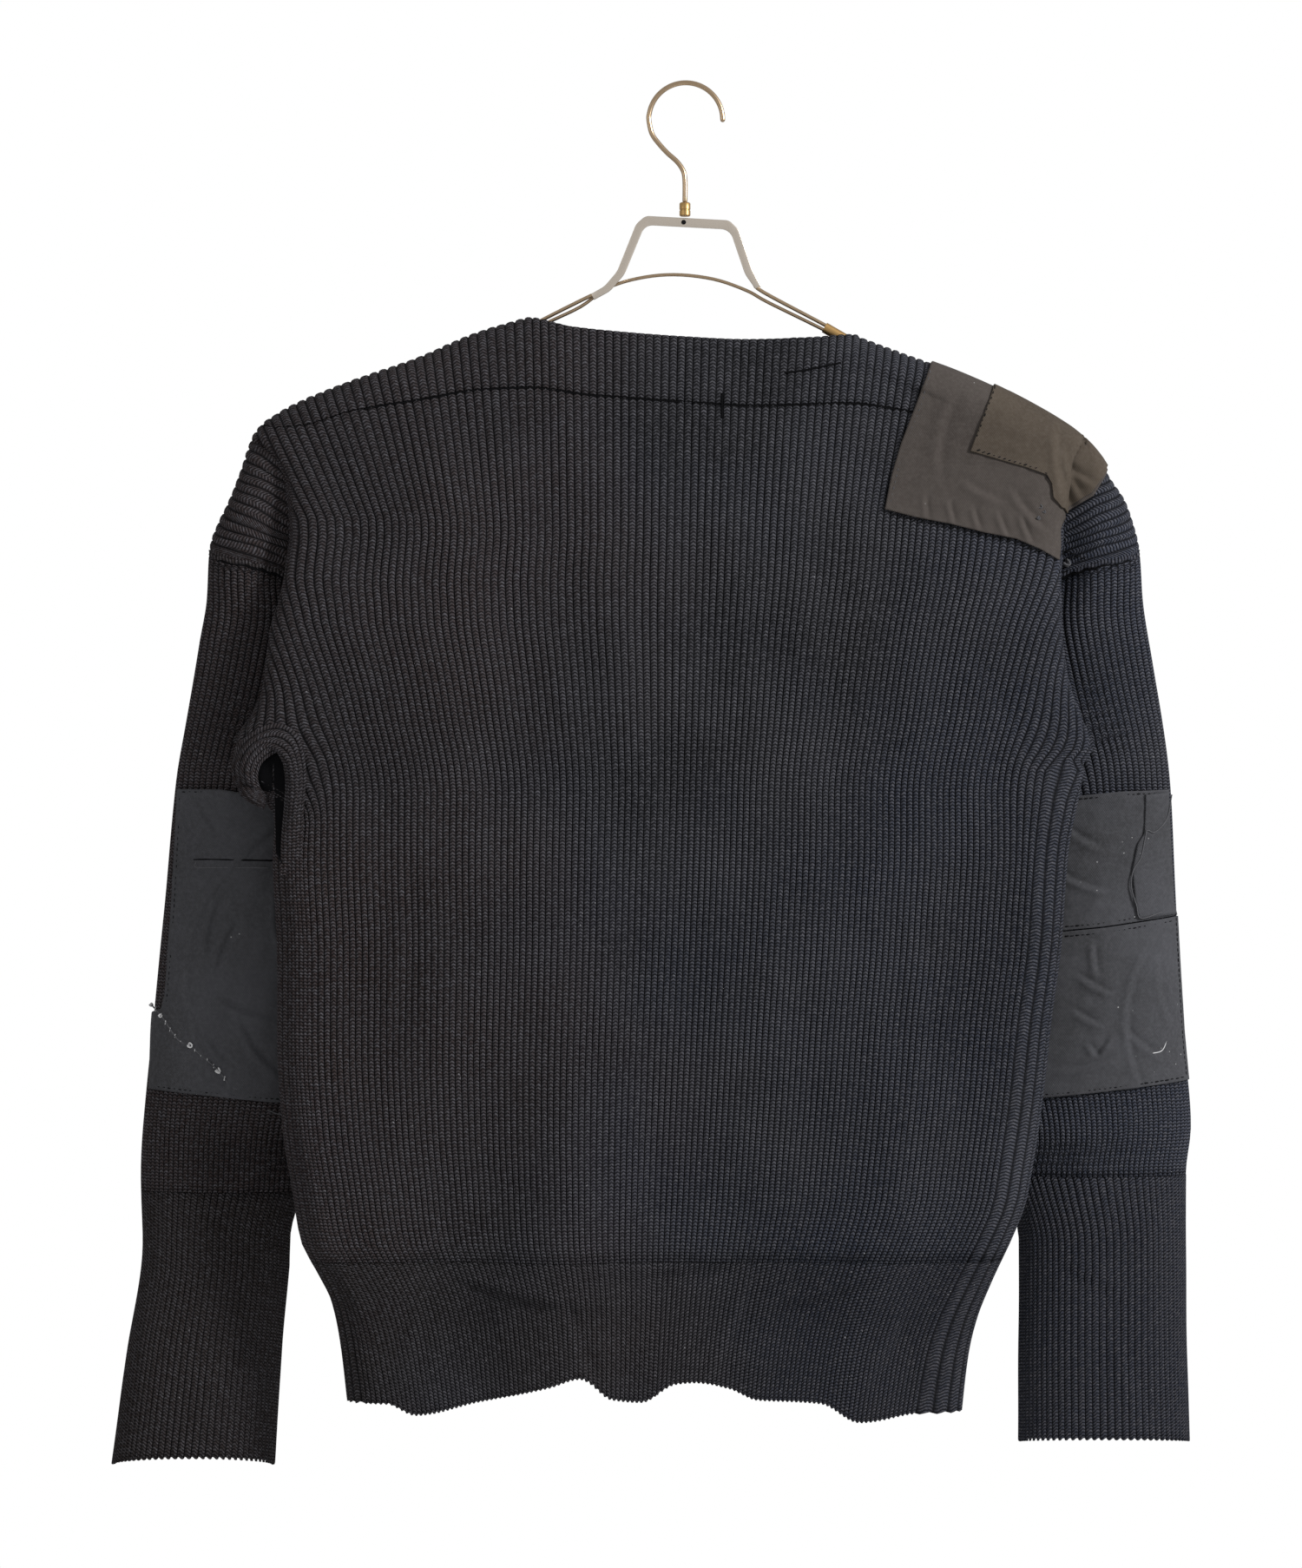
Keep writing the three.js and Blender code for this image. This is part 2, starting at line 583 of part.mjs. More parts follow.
function sleeve(name) {
  const low = cuffTop[name] + 0.5 * seamGap;
  const { sign } = outline[name];
  return wall({
    pointAt: (value, j, step) => {
      const rib = -sign * value;
      return sleevePoint(name, rib, sleeveHeights(sleeveTop(rib), low)[j] - step);
    },
    values: sleeveColumns,
    rows: armShares.length + foreShares.length,
    thickness: knitWall,
    level: { end: true },
    reach: 0.5,
  });
}

const cuffWave = { left: 7, right: 4 };
const cuffShares = [0, 0.3, 0.65, 1];
function cuff(name) {
  const { sign } = outline[name];
  return wall({
    pointAt: (value, j, step) => {
      const rib = -sign * value;
      const end = cuffEnd[name] + cuffWave[name] * Math.sin((Math.abs(rib) / sleeveRibs) * Math.PI);
      return sleevePoint(name, rib, mix(cuffTop[name] - 0.5 * seamGap, end, cuffShares[j]) - step);
    },
    values: sleeveColumns,
    rows: cuffShares.length,
    thickness: knitWall,
    level: { top: true },
    reach: 0.5,
  });
}

// ---- patches: woven cloth laid on the knit, made from the knit's own points ----
const patchLift = 0.5 * knitWall + seamGap + 0.5 * patchWall;
const overlayLift = patchLift + patchWall + 0.5;

function solidOf(geometry) {
  const { array } = geometry.getAttribute('position');
  const triVerts = new Uint32Array(geometry.index.array);
  return new wasm.Manifold(new wasm.Mesh({ numProp: 3, vertProperties: array, triVerts }));
}

function geometryOf(solid) {
  const mesh = solid.getMesh();
  const geometry = new THREE.BufferGeometry();
  geometry.setAttribute('position', new THREE.Float32BufferAttribute(mesh.vertProperties, 3));
  geometry.setIndex(Array.from(mesh.triVerts));
  return geometry;
}

// The outside of the right shoulder as one sheet: up the front, over the top and down the back, with
// the same points as the panels and the yoke strip beneath it.
const shoulderOwn = ribColumns.filter((rib) => rib > halfRibs + 20 && rib < wholeRibs - 3);
function shoulderSheet(lift) {
  const name = 'right';
  const frontRows = upperShares.slice(1, 7).map((_, j) => j + 1).reverse();
  const yokeRows = yokeShares.slice(1);
  const backRows = upperShares.map((_, j) => j);
  const spots = [
    ...frontRows.map((j) => (own, step) => (
      stepped(frontPoint, name, own, panelHeights(frontTop(name, own))[j], -step))),
    (own, step) => {
      const { out, height } = ribTop(name, own);
      return { x: out, y: -0.5 * step, z: height };
    },
    ...yokeRows.map((share) => (own, step) => (
      stepped(backPoint, name, own, mix(
        ribTop(name, own).height,
        own > yokeEnd + 0.1 ? yokeLow(name, own) : yokeHeight(name, own),
        share,
      ), step))),
    ...backRows.map((j) => (own, step) => (
      stepped(backPoint, name, own, panelHeights(backTop(name, own))[j], step))),
  ];
  return wall({
    pointAt: (rib, j, step) => spots[j](ownRib(rib), step),
    values: shoulderOwn,
    rows: spots.length,
    thickness: patchWall,
    lift: -lift,
    turned: frontRows.length,
  });
}

// A flat outline stood up as a block between two depths.
function block(points, fromY, toY) {
  const turn = THREE.ShapeUtils.area(points.map(([x, z]) => new THREE.Vector2(x, z)));
  const ring = turn > 0 ? points : [...points].reverse();
  return wasm.Manifold.extrude([ring], toY - fromY).rotate([90, 0, 0]).translate([0, toY, 0]);
}

const foldTuck = -16;           // the patches end on the fold's edge, short of its inner layer
function shoulderPiece(lift, back, front, under) {
  const cutter = block(back, -60, 0.1).add(block(front, 0, 60));
  const tuck = block([[100, -310], [300, -310], [300, -262], [100, -262]], foldTuck, 30);
  let cut = solidOf(shoulderSheet(lift)).intersect(cutter).subtract(tuck);
  under.forEach((geometry) => { cut = cut.subtract(solidOf(geometry)); });
  const bodies = cut.decompose().sort((a, b) => b.volume() - a.volume());
  return geometryOf(bodies[0]);
}

const patchBack = [[158, -150], [154.6, -178.6], [145.2, -203.9], [135.3, -229.2], [129.3, -249],
  [124.9, -270.5], [143.6, -275.4], [166.1, -279.8], [187.6, -285.3], [207.4, -289.2], [222.2, -295.8],
  [232, -301.5], [234.5, -293], [233.8, -281.5], [236.5, -276], [243.1, -269.4], [256.9, -261.1],
  [266.2, -250], [300, -225], [300, -150]];
const patchFront = [[158, -150], [152, -180], [146, -205], [141, -232], [168, -240], [200, -247],
  [226, -256], [240, -257], [258, -252], [300, -232], [300, -150]];
const overlayBack = [[198, -150], [194.2, -192.4], [187.6, -210.5], [178.8, -234.2], [200.8, -240.8],
  [214, -244.6], [226.1, -249], [228.8, -254.5], [229.4, -262.8], [233.5, -268.5], [242, -266.5],
  [255.8, -258.8], [264, -248.5], [300, -222], [300, -150]];
const overlayFront = [[198, -150], [193, -195], [188, -222], [210, -228], [232, -236], [256, -243],
  [300, -226], [300, -150]];

// The outside of a sleeve below the underarm, lifted, with the same points as the sleeve beneath.
function sleeveSheet(name, lift) {
  const { sign } = outline[name];
  const first = armShares.length - 3;
  return wall({
    pointAt: (value, j, step) => {
      const rib = -sign * value;
      const low = cuffTop[name] + 0.5 * seamGap;
      return sleevePoint(name, rib, sleeveHeights(sleeveTop(rib), low)[first + j] - step);
    },
    values: sleeveColumns,
    rows: armShares.length + foreShares.length - first,
    thickness: patchWall,
    lift: -lift,
    reach: 0.5,
  });
}

function sleevePiece(name, lift, points, toY) {
  const cut = solidOf(sleeveSheet(name, lift)).intersect(block(points, -60, toY));
  const bodies = cut.decompose().sort((a, b) => b.volume() - a.volume());
  return geometryOf(bodies[0]);
}

const elbowPieces = {
  left_elbow_patch: ['left', patchLift, [[-321.8, -445.4], [-293.7, -445.4], [-274.5, -449.2], [-225, -450],
    [-225, -645], [-262.9, -645], [-300, -641], [-360, -637], [-360, -589], [-332.8, -586.2],
    [-330.6, -577.4], [-326.2, -518.5]], 33],
  right_elbow_upper: ['right', patchLift, [[200, -450], [249.7, -449.8], [276.7, -447], [306.9, -445.9],
    [311.3, -518.5], [313, -526.4], [266.8, -533.2], [238.7, -536], [200, -538]], 30],
  right_elbow_lower: ['right', patchLift, [[200, -538.6], [238.7, -536.6], [266.8, -533.8], [313.5, -526.9],
    [318, -600], [345, -603], [345, -631], [321.2, -632], [259, -639], [226.6, -642.3], [200, -644]], 33],
  right_elbow_overlay: ['right', overlayLift, [[293, -448.5], [305.5, -447.5], [310, -518.5],
    [310.6, -525], [289.5, -528.5], [285.5, -520], [283, -497], [287, -480], [291, -474], [291.5, -460]], 30],
};

// ---- the hanger ----
const hookRadius = 23.4;
const hookWire = 1.6;
const armWire = 1.2;
const lowerWire = 1.1;

function wire(points, radius, sides, steps) {
  const spots = points.map(([x, z, y]) => new THREE.Vector3(x, y || 0, z));
  const curve = new THREE.CatmullRomCurve3(spots, false, 'centripetal');
  const section = new THREE.Shape();
  for (let i = 0; i < sides; i += 1) {
    const turn = (i / sides) * 2 * Math.PI;
    const [a, b] = [radius * Math.cos(turn), radius * Math.sin(turn)];
    if (i === 0) section.moveTo(a, b);
    else section.lineTo(a, b);
  }
  return new THREE.ExtrudeGeometry(section, { steps, extrudePath: curve, bevelEnabled: false });
}

function hookPath() {
  const points = [];
  for (let turn = 0; turn <= 180; turn += 20) {
    const a = (turn * Math.PI) / 180;
    points.push([0.5 + hookRadius * Math.cos(a), hookWire - hookRadius + hookRadius * Math.sin(a)]);
  }
  return [...points, [-21, -30.5], [-16.5, -37], [-11, -43], [-4.8, -48.6], [-1, -54.5], [0, -61], [0, -73.2]];
}

// The flat bar under the hook: a strip bent to a trapezoid, lying in the garment's plane.
function bandBar() {
  const outer = [[-59.5, -132.2], [-51, -127.4], [-43, -118], [-31, -88], [-25, -82.8], [28, -85.6],
    [34, -91.5], [42.3, -116.5], [48.2, -127.6]];
  const inner = [[44.6, -129], [38, -119.5], [29.4, -94.2], [25.4, -91.2], [-22.6, -88.6], [-26.4, -91],
    [-38.2, -119.6], [-47.4, -130.4], [-57.6, -136]];
  const shape = new THREE.Shape([...outer, ...inner].map(([x, z]) => new THREE.Vector2(x, z)));
  const depth = 2.4;
  const geometry = new THREE.ExtrudeGeometry(shape, { depth, bevelEnabled: false });
  geometry.rotateX(Math.PI / 2);
  geometry.translate(0, depth / 2, 0);
  return geometry;
}

function ferrule(radius, length) {
  const half = length / 2;
  const bevel = 0.5;
  const profile = [[0, -half], [radius - bevel, -half], [radius, bevel - half], [radius, half - bevel],
    [radius - bevel, half], [0, half]];
  return new THREE.LatheGeometry(profile.map(([r, y]) => new THREE.Vector2(r, y)), 12);
}

const leftArm = [[-60.6, -133.6], [-88, -147.4], [-106, -157], [-130, -167], [-172, -181.6], [-205, -196.5], [-231, -209]];
const rightArm = [[49.6, -131.2], [90, -152.6], [110, -164.5], [134, -175.6], [174, -191], [214, -209], [229, -217]];
const archGap = 3.4;
const archBehind = 2.9;
const archPath = [...leftArm.slice(1).reverse().map(([x, z]) => [x, z - archGap]),
  [-66, -140, 1.6], [-50, -128.5, archBehind], [-30, -122, archBehind], [-7, -119.6, archBehind],
  [18, -122.4, archBehind], [39, -129.6, archBehind], [53, -137.4, 2],
  ...rightArm.slice(1).map(([x, z]) => [x, z - archGap])];

function piece(name, geometry, material) {
  const mesh = new THREE.Mesh(geometry, material);
  mesh.name = name;
  return mesh;
}

const sweater = new THREE.Group();
sweater.add(piece('back_panel', panel(backPoint, backTop, -1), knitMaterial));
sweater.add(piece('front_panel', panel(frontPoint, frontTop, 1), knitMaterial));
sweater.add(piece('back_yoke', yokeStrip(), knitMaterial));
sweater.add(piece('back_band', bodyBand(backPoint), bandMaterial));
sweater.add(piece('front_band', bodyBand(frontPoint), bandMaterial));
['left', 'right'].forEach((name) => {
  sweater.add(piece(`${name}_sleeve`, sleeve(name), knitMaterial));
  sweater.add(piece(`${name}_cuff`, cuff(name), bandMaterial));
});
const backPanel = panel(backPoint, backTop, -1);
const shoulderPatch = shoulderPiece(patchLift, patchBack, patchFront, [backPanel]);
const shoulderOverlay = shoulderPiece(overlayLift, overlayBack, overlayFront, [shoulderPatch, backPanel]);
sweater.add(piece('shoulder_patch', shoulderPatch, twillMaterial));
sweater.add(piece('shoulder_overlay', shoulderOverlay, twillMaterial));
Object.entries(elbowPieces).forEach(([name, [side, lift, points, toY]]) => {
  sweater.add(piece(name, sleevePiece(side, lift, points, toY), elbowMaterial));
});

const hanger = new THREE.Group();
hanger.add(piece('hanger_hook', wire(hookPath(), hookWire, 10, 48), chromeMaterial));
hanger.add(piece('hanger_bar', bandBar(), chromeMaterial));
hanger.add(piece('hanger_left_arm', wire(leftArm, armWire, 8, 24), chromeMaterial));
hanger.add(piece('hanger_right_arm', wire(rightArm, armWire, 8, 24), chromeMaterial));
hanger.add(piece('hanger_arch', wire(archPath, lowerWire, 8, 60), chromeMaterial));
const collar = piece('hanger_ferrule', ferrule(3.5, 8.6), brassMaterial);
collar.rotation.x = Math.PI / 2;
collar.position.z = -78;
hanger.add(collar);
sweater.add(hanger);

export default sweater;
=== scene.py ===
# A worn, darned and patched rib-knit wool sweater on a metal hanger, seen from behind.
# Metres in Blender; the garment's surface functions work in millimetres, as the CAD part does.
import math

import bmesh
import bpy
import numpy as np
from mathutils import Matrix, Vector


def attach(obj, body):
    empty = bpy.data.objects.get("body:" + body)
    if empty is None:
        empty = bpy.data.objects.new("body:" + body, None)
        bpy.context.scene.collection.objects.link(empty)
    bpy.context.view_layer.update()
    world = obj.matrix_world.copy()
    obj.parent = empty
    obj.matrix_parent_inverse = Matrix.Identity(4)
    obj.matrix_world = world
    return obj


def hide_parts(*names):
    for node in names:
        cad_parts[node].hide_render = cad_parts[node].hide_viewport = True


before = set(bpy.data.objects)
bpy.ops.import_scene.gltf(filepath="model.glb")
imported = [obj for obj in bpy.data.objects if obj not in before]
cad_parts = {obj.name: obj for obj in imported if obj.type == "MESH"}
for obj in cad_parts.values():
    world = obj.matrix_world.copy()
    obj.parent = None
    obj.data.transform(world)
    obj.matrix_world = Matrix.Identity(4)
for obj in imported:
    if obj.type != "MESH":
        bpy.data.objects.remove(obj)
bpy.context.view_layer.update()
MM = 0.001

# ---- the view: level, from behind the wearer ----
VIEW_DISTANCE = 2.5
VIEW_WIDTH = 0.825
VIEW_CENTRE = (-0.0215, -0.4426)
camera_data = bpy.data.cameras.new("camera")
camera_data.sensor_fit = "HORIZONTAL"
camera_data.sensor_width = 36.0
camera_data.lens = 36.0 * VIEW_DISTANCE / VIEW_WIDTH
camera_data.clip_end = 20.0
camera = bpy.data.objects.new("camera", camera_data)
camera.location = (VIEW_CENTRE[0], -VIEW_DISTANCE, VIEW_CENTRE[1])
camera.rotation_euler = (math.radians(90), 0, 0)
bpy.context.scene.collection.objects.link(camera)
bpy.context.scene.camera = camera

# ---- driving sizes, in millimetres, as in the CAD part ----
SEAM_GAP = 0.3
HALF_RIBS = 64.0
SHOULDER_RIBS = 43.4
SLEEVE_RIBS = 36.0
ARM_TOP = -294.0
ARM_FOLD = -312.0
UNDERARM = -432.0
SLEEVE_FREE = -470.0
BAND_TOP = -742.0
CUFF_TOP = {"left": -703.0, "right": -693.0}
CUFF_END = {"left": -879.0, "right": -864.0}
SIGN = {"left": -1.0, "right": 1.0}
EDGE = {
    "left": [(-147, 100.7), (-155.5, 130), (-173, 172), (-191, 223), (-206.5, 257), (-217, 271),
             (-225, 275.5), (-240, 280.5), (-260, 288), (-294, 301.5), (-325, 303.5), (-352, 308.5),
             (-405, 318), (-440, 324.5), (-492, 330.5), (-599, 341.5), (-695, 349), (-736, 348),
             (-805, 358), (-879, 368)],
    "right": [(-158.8, 110), (-168, 134), (-182.5, 174), (-201, 214), (-221.5, 247.5), (-235, 261),
              (-251, 271), (-264, 279.5), (-294, 288), (-324, 290.5), (-364, 297.5), (-430, 308.5),
              (-460, 311.5), (-533, 316), (-599, 320), (-661, 325), (-692, 322), (-789, 322.5),
              (-864, 324.5)],
}
FOLD = {
    "left": [(-225, 275.5), (-230, 266), (-238, 257), (-252, 250), (-284, 247.5), (-305, 251),
             (-328, 256), (-344, 261), (-383, 266), (-400, 273.5), (-412, 281), (-427, 283.5),
             (-438, 281), (-451, 266), (-465, 258), (-489, 259.5), (-548, 257), (-606, 257),
             (-661, 253.5), (-696, 248), (-729, 242.5), (-751, 231.5), (-768, 223.5),
             (-791, 218.5), (-842, 212.5)],
    "right": [(-225, 251.5), (-230, 248), (-238, 243), (-252, 239.5), (-280, 236.5), (-305, 236.5),
              (-346, 237.5), (-372, 240.5), (-390, 245.5), (-405, 251.5), (-420, 256), (-431, 251.5),
              (-449, 248), (-484, 241.5), (-545, 237), (-594, 230.5), (-641, 225.5), (-688, 218.5),
              (-705, 215.5), (-727, 207), (-754, 194.5), (-778, 185), (-803, 179), (-842, 174.5)],
}
NECK = {"left": -147.0, "right": -158.8}
SEAM_TURN = {"left": 1.55, "right": 0.55}
MIDDLE = [(-147, 5.5), (-440, -1), (-700, -12), (-842, -19)]
NECK_EDGE = [(-110, -147), (-98, -148.5), (-71, -154.5), (-39, -158), (0, -161), (40, -162.8),
             (85, -161.2), (101, -159.5), (112, -158.8)]
YOKE_SEAM = [(-275, -219.5), (-243, -218), (-208, -208), (-166, -201), (-130, -195), (-98, -193.5),
             (-60, -198), (-15, -201.5), (48, -205), (103, -203.5), (138, -208), (200, -223),
             (240, -239)]
HEM_EDGE = [(-214, -831), (-196, -838), (-146, -830), (-94, -820), (-71, -814.5), (-47, -828),
            (-25, -830), (0, -819), (14, -818), (38, -821.5), (60, -829), (106, -831), (136, -842),
            (173, -837)]
BACK_DEPTH = [(-147, 14), (-200, 20), (-300, 27), (-430, 31), (-600, 33), (-740, 31), (-800, 25),
              (-842, 27)]
FRONT_DEPTH = [(-147, 14), (-200, 19), (-300, 23), (-430, 25), (-600, 27), (-740, 27), (-842, 23)]
CAP_BACK = [(-217, 0), (-226, -5), (-232, -11), (-240, -14), (-280, -15), (-305, -13), (-345, -5),
            (-380, -1), (-432, 1), (-446, 4), (-470, 7), (-560, 9), (-650, 10), (-700, 14),
            (-880, 15)]
CAP_FRONT = [(-217, 0), (-226, 5), (-232, 11), (-240, 15), (-280, 18), (-312, 21), (-352, 29),
             (-400, 38), (-432, 42), (-470, 52), (-560, 66), (-650, 64), (-700, 58), (-880, 56)]
CAP_MID = [(-290, 0), (-312, 3), (-352, 8), (-400, 14), (-432, 17), (-470, 24), (-560, 34),
           (-700, 35), (-880, 35)]
VALLEY_DEPTH = [(-225, 0), (-230, -10), (-240, -15), (-252, -13), (-270, -10), (-300, -5),
                (-330, 0), (-365, 4), (-432, 4), (-470, 0), (-540, -4), (-842, -6)]
FOLD_DEPTH = [(-225, 0), (-230, -11), (-240, -16), (-280, -17), (-312, -18), (-432, -21),
              (-470, -18), (-842, -8)]
FOLD_ROUND = [(-147, 48), (-200, 50), (-225, 38), (-235, 28), (-250, 22), (-700, 22), (-842, 30)]
OVERLAP = [(-225, 0), (-240, -3), (-300, -3), (-312, 0), (-335, 18), (-365, 26), (-432, 40),
           (-470, 30), (-842, 30)]
INNER_GAP = [(-432, 0), (-470, -12), (-560, -30), (-650, -28), (-700, -12), (-736, -2), (-880, -4)]
RIBS_AT_VALLEY = {
    "left": [(-225, 12), (-245, 11), (-258, 9), (-281, 6), (-294, 3), (-312, 0)],
    "right": [(-225, 14.8), (-236, 13.8), (-245, 12.6), (-258, 10.2), (-281, 6.6), (-294, 3.4),
              (-312, 0)],
}
RIBS_AT_FOLD = {
    "left": [(-225, 12), (-240, 12.6), (-309, 12), (-350, 8.5), (-390, 5), (-425, 2.2), (-450, 0)],
    "right": [(-225, 14.8), (-240, 14.7), (-262, 13.8), (-309, 12), (-350, 8.5), (-390, 5),
              (-425, 2.2), (-450, 0)],
}
SLEEVE_RIBS_IN = [(-294, 0), (-312, 15), (-350, 19), (-400, 26), (-432, 32), (-470, 36)]
FRONT_VALLEY = [(-225, 0), (-230, 10), (-240, 17), (-280, 17), (-312, 14), (-345, 10.5),
                (-390, 6.5), (-420, 2.6), (-432, 2.2)]


# ---- arithmetic on arrays ----
def along(table, height):
    """Smooth value of a table of (height, value), highest first, at each height."""
    knots = np.array([-row[0] for row in table], float)
    values = np.array([row[1] for row in table], float)
    at = np.clip(-np.asarray(height, float), knots[0], knots[-1])
    slope = np.diff(values) / np.diff(knots)
    tangent = np.empty(len(knots))
    tangent[0], tangent[-1] = slope[0], slope[-1]
    a, b = slope[:-1], slope[1:]
    total = np.where(a + b == 0, 1, a + b)
    tangent[1:-1] = np.where(a * b > 0, 2 * a * b / total, 0)
    i = np.clip(np.searchsorted(knots, at, side="right") - 1, 0, len(knots) - 2)
    span = knots[i + 1] - knots[i]
    u = (at - knots[i]) / span
    rise = u * u * (3 - 2 * u)
    hold = u * (1 - u) ** 2 * tangent[i] - u * u * (1 - u) * tangent[i + 1]
    return values[i] + (values[i + 1] - values[i]) * rise + hold * span


def by_width(table, x):
    return -along([(-a, -b) for a, b in table], -np.asarray(x, float))


def mix(a, b, u):
    return a + (b - a) * u


def ease(u):
    u = np.clip(u, 0, 1)
    return u * u * (3 - 2 * u)


def edge_at(side, height):
    return along(EDGE[side], np.asarray(height, float) + 1) - 1.2


def fold_at(side, height):
    return along(FOLD[side], height) - 1.2


def shoulder_line(side):
    heights = np.linspace(ARM_TOP, EDGE[side][0][0] - 1, 61)
    outs = edge_at(side, heights)
    steps = np.hypot(np.diff(heights), np.diff(outs))
    lengths = np.concatenate([[0], np.cumsum(steps)])
    return heights, lengths / lengths[-1] * SHOULDER_RIBS


SHOULDER = {side: shoulder_line(side) for side in SIGN}


def shoulder_rib(side, height):
    heights, ribs = SHOULDER[side]
    return np.interp(height, heights, ribs)


def rib_top(side, rib):
    """Where a rib starts, on the shoulder line or the neck's edge: (out, height)."""
    heights, ribs = SHOULDER[side]
    height = np.interp(rib, ribs, heights)
    out = edge_at(side, height)
    corner = edge_at(side, NECK[side])
    share = (rib - SHOULDER_RIBS) / (HALF_RIBS - SHOULDER_RIBS)
    neck_out = mix(corner, SIGN[side] * along(MIDDLE, NECK[side]), share)
    on_neck = rib > SHOULDER_RIBS
    return (np.where(on_neck, neck_out, out),
            np.where(on_neck, by_width(NECK_EDGE, SIGN[side] * neck_out), height))


LEVEL_CHEST = -276.0


def rib_out(side, rib, height):
    sign = SIGN[side]
    lowest = np.minimum(height, LEVEL_CHEST)
    fold_rib = along(RIBS_AT_FOLD[side], lowest)
    share = np.clip((rib - fold_rib) / (HALF_RIBS - fold_rib), 0, 1)
    spread = 0.3 * np.clip((lowest + 450) / 140, 0, 1)
    part = share + spread * share * (1 - share) ** 4
    level = mix(fold_at(side, lowest), sign * along(MIDDLE, lowest), part)
    top_out, top_height = rib_top(side, rib)
    u = np.clip((top_height - height) / (top_height - LEVEL_CHEST), 0, 1)
    above = np.clip(mix(top_out, level, u), sign * along(MIDDLE, height), edge_at(side, height))
    return np.where(height <= LEVEL_CHEST, level, above)


def drape(x, height, strength):
    """Soft vertical folds in the hanging body, growing towards the hem."""
    grow = ease((-height - 330) / 430)
    slow = np.sin(x / 31 + 0.6 + height / 260) + 0.6 * np.sin(x / 17.5 + 2.1 - height / 190)
    return strength * (0.8 + 4.2 * grow) * slow


def seam_share(height):
    return ease((ARM_TOP - height) / (ARM_TOP - ARM_FOLD))


def quarter(x0, y0, x1, y1, u):
    turn = u * math.pi / 2
    return mix(x0, x1, 1 - np.cos(turn)), mix(y0, y1, np.sin(turn))


def valley_point(side, height):
    return fold_at(side, height) - along(OVERLAP, height), along(VALLEY_DEPTH, height)


def fold_point(side, part, height, start_out, start_y):
    """From the valley (part 0) round the fold's edge (1) to the back's own level (2)."""
    edge_out = fold_at(side, height)
    edge_y = along(FOLD_DEPTH, height)
    bulge = np.clip((along(OVERLAP, height) + 3) / 20, 0, 1)
    p = np.clip(part, 0, 1)
    b0, b1, b2, b3 = (1 - p) ** 3, 3 * (1 - p) ** 2 * p, 3 * (1 - p) * p * p, p ** 3
    out = (b0 * start_out + b1 * mix(start_out, edge_out, 0.45)
           + b2 * (edge_out + 0.5 * bulge) + b3 * edge_out)
    y = (b0 * start_y + b1 * (start_y - 5.5 * bulge) + b2 * (edge_y + 4 * bulge) + b3 * edge_y)
    far_out, far_y = quarter(edge_out, edge_y, edge_out - along(FOLD_ROUND, height),
                             -along(BACK_DEPTH, height), np.clip(part - 1, 0, 1))
    return np.where(part < 1, out, far_out), np.where(part < 1, y, far_y)


def back_level(side, out, height):
    inside = fold_at(side, height) - along(FOLD_ROUND, height) - out
    return -along(BACK_DEPTH, height) - ease(inside / 60) * drape(SIGN[side] * out, height, 1)


def cap_point(side, part, height, valley_out, valley_y, facing):
    """The cap and sleeve, part 0 at the outer edge and 1 at the valley; facing -1 is the back."""
    edge_out = edge_at(side, height)
    crown = mix(edge_out, valley_out, 0.5)
    crown_y = along(CAP_BACK if facing < 0 else CAP_FRONT, height)
    near = quarter(edge_out, along(CAP_MID, height), crown, crown_y, np.clip(part * 2, 0, 1))
    u = np.clip(part * 2 - 1, 0, 1)
    soft = mix(crown, valley_out, u), mix(crown_y, valley_y, ease(u))
    turn = u * math.pi / 2
    full = mix(crown, valley_out, np.sin(turn)), mix(crown_y, valley_y, 1 - np.cos(turn))
    share = np.clip((-352 - height) / 80, 0, 1) if facing < 0 else np.clip((-300 - height) / 60, 0, 1)
    far = mix(soft[0], full[0], share), mix(soft[1], full[1], share)
    return np.where(part < 0.5, near[0], far[0]), np.where(part < 0.5, near[1], far[1])


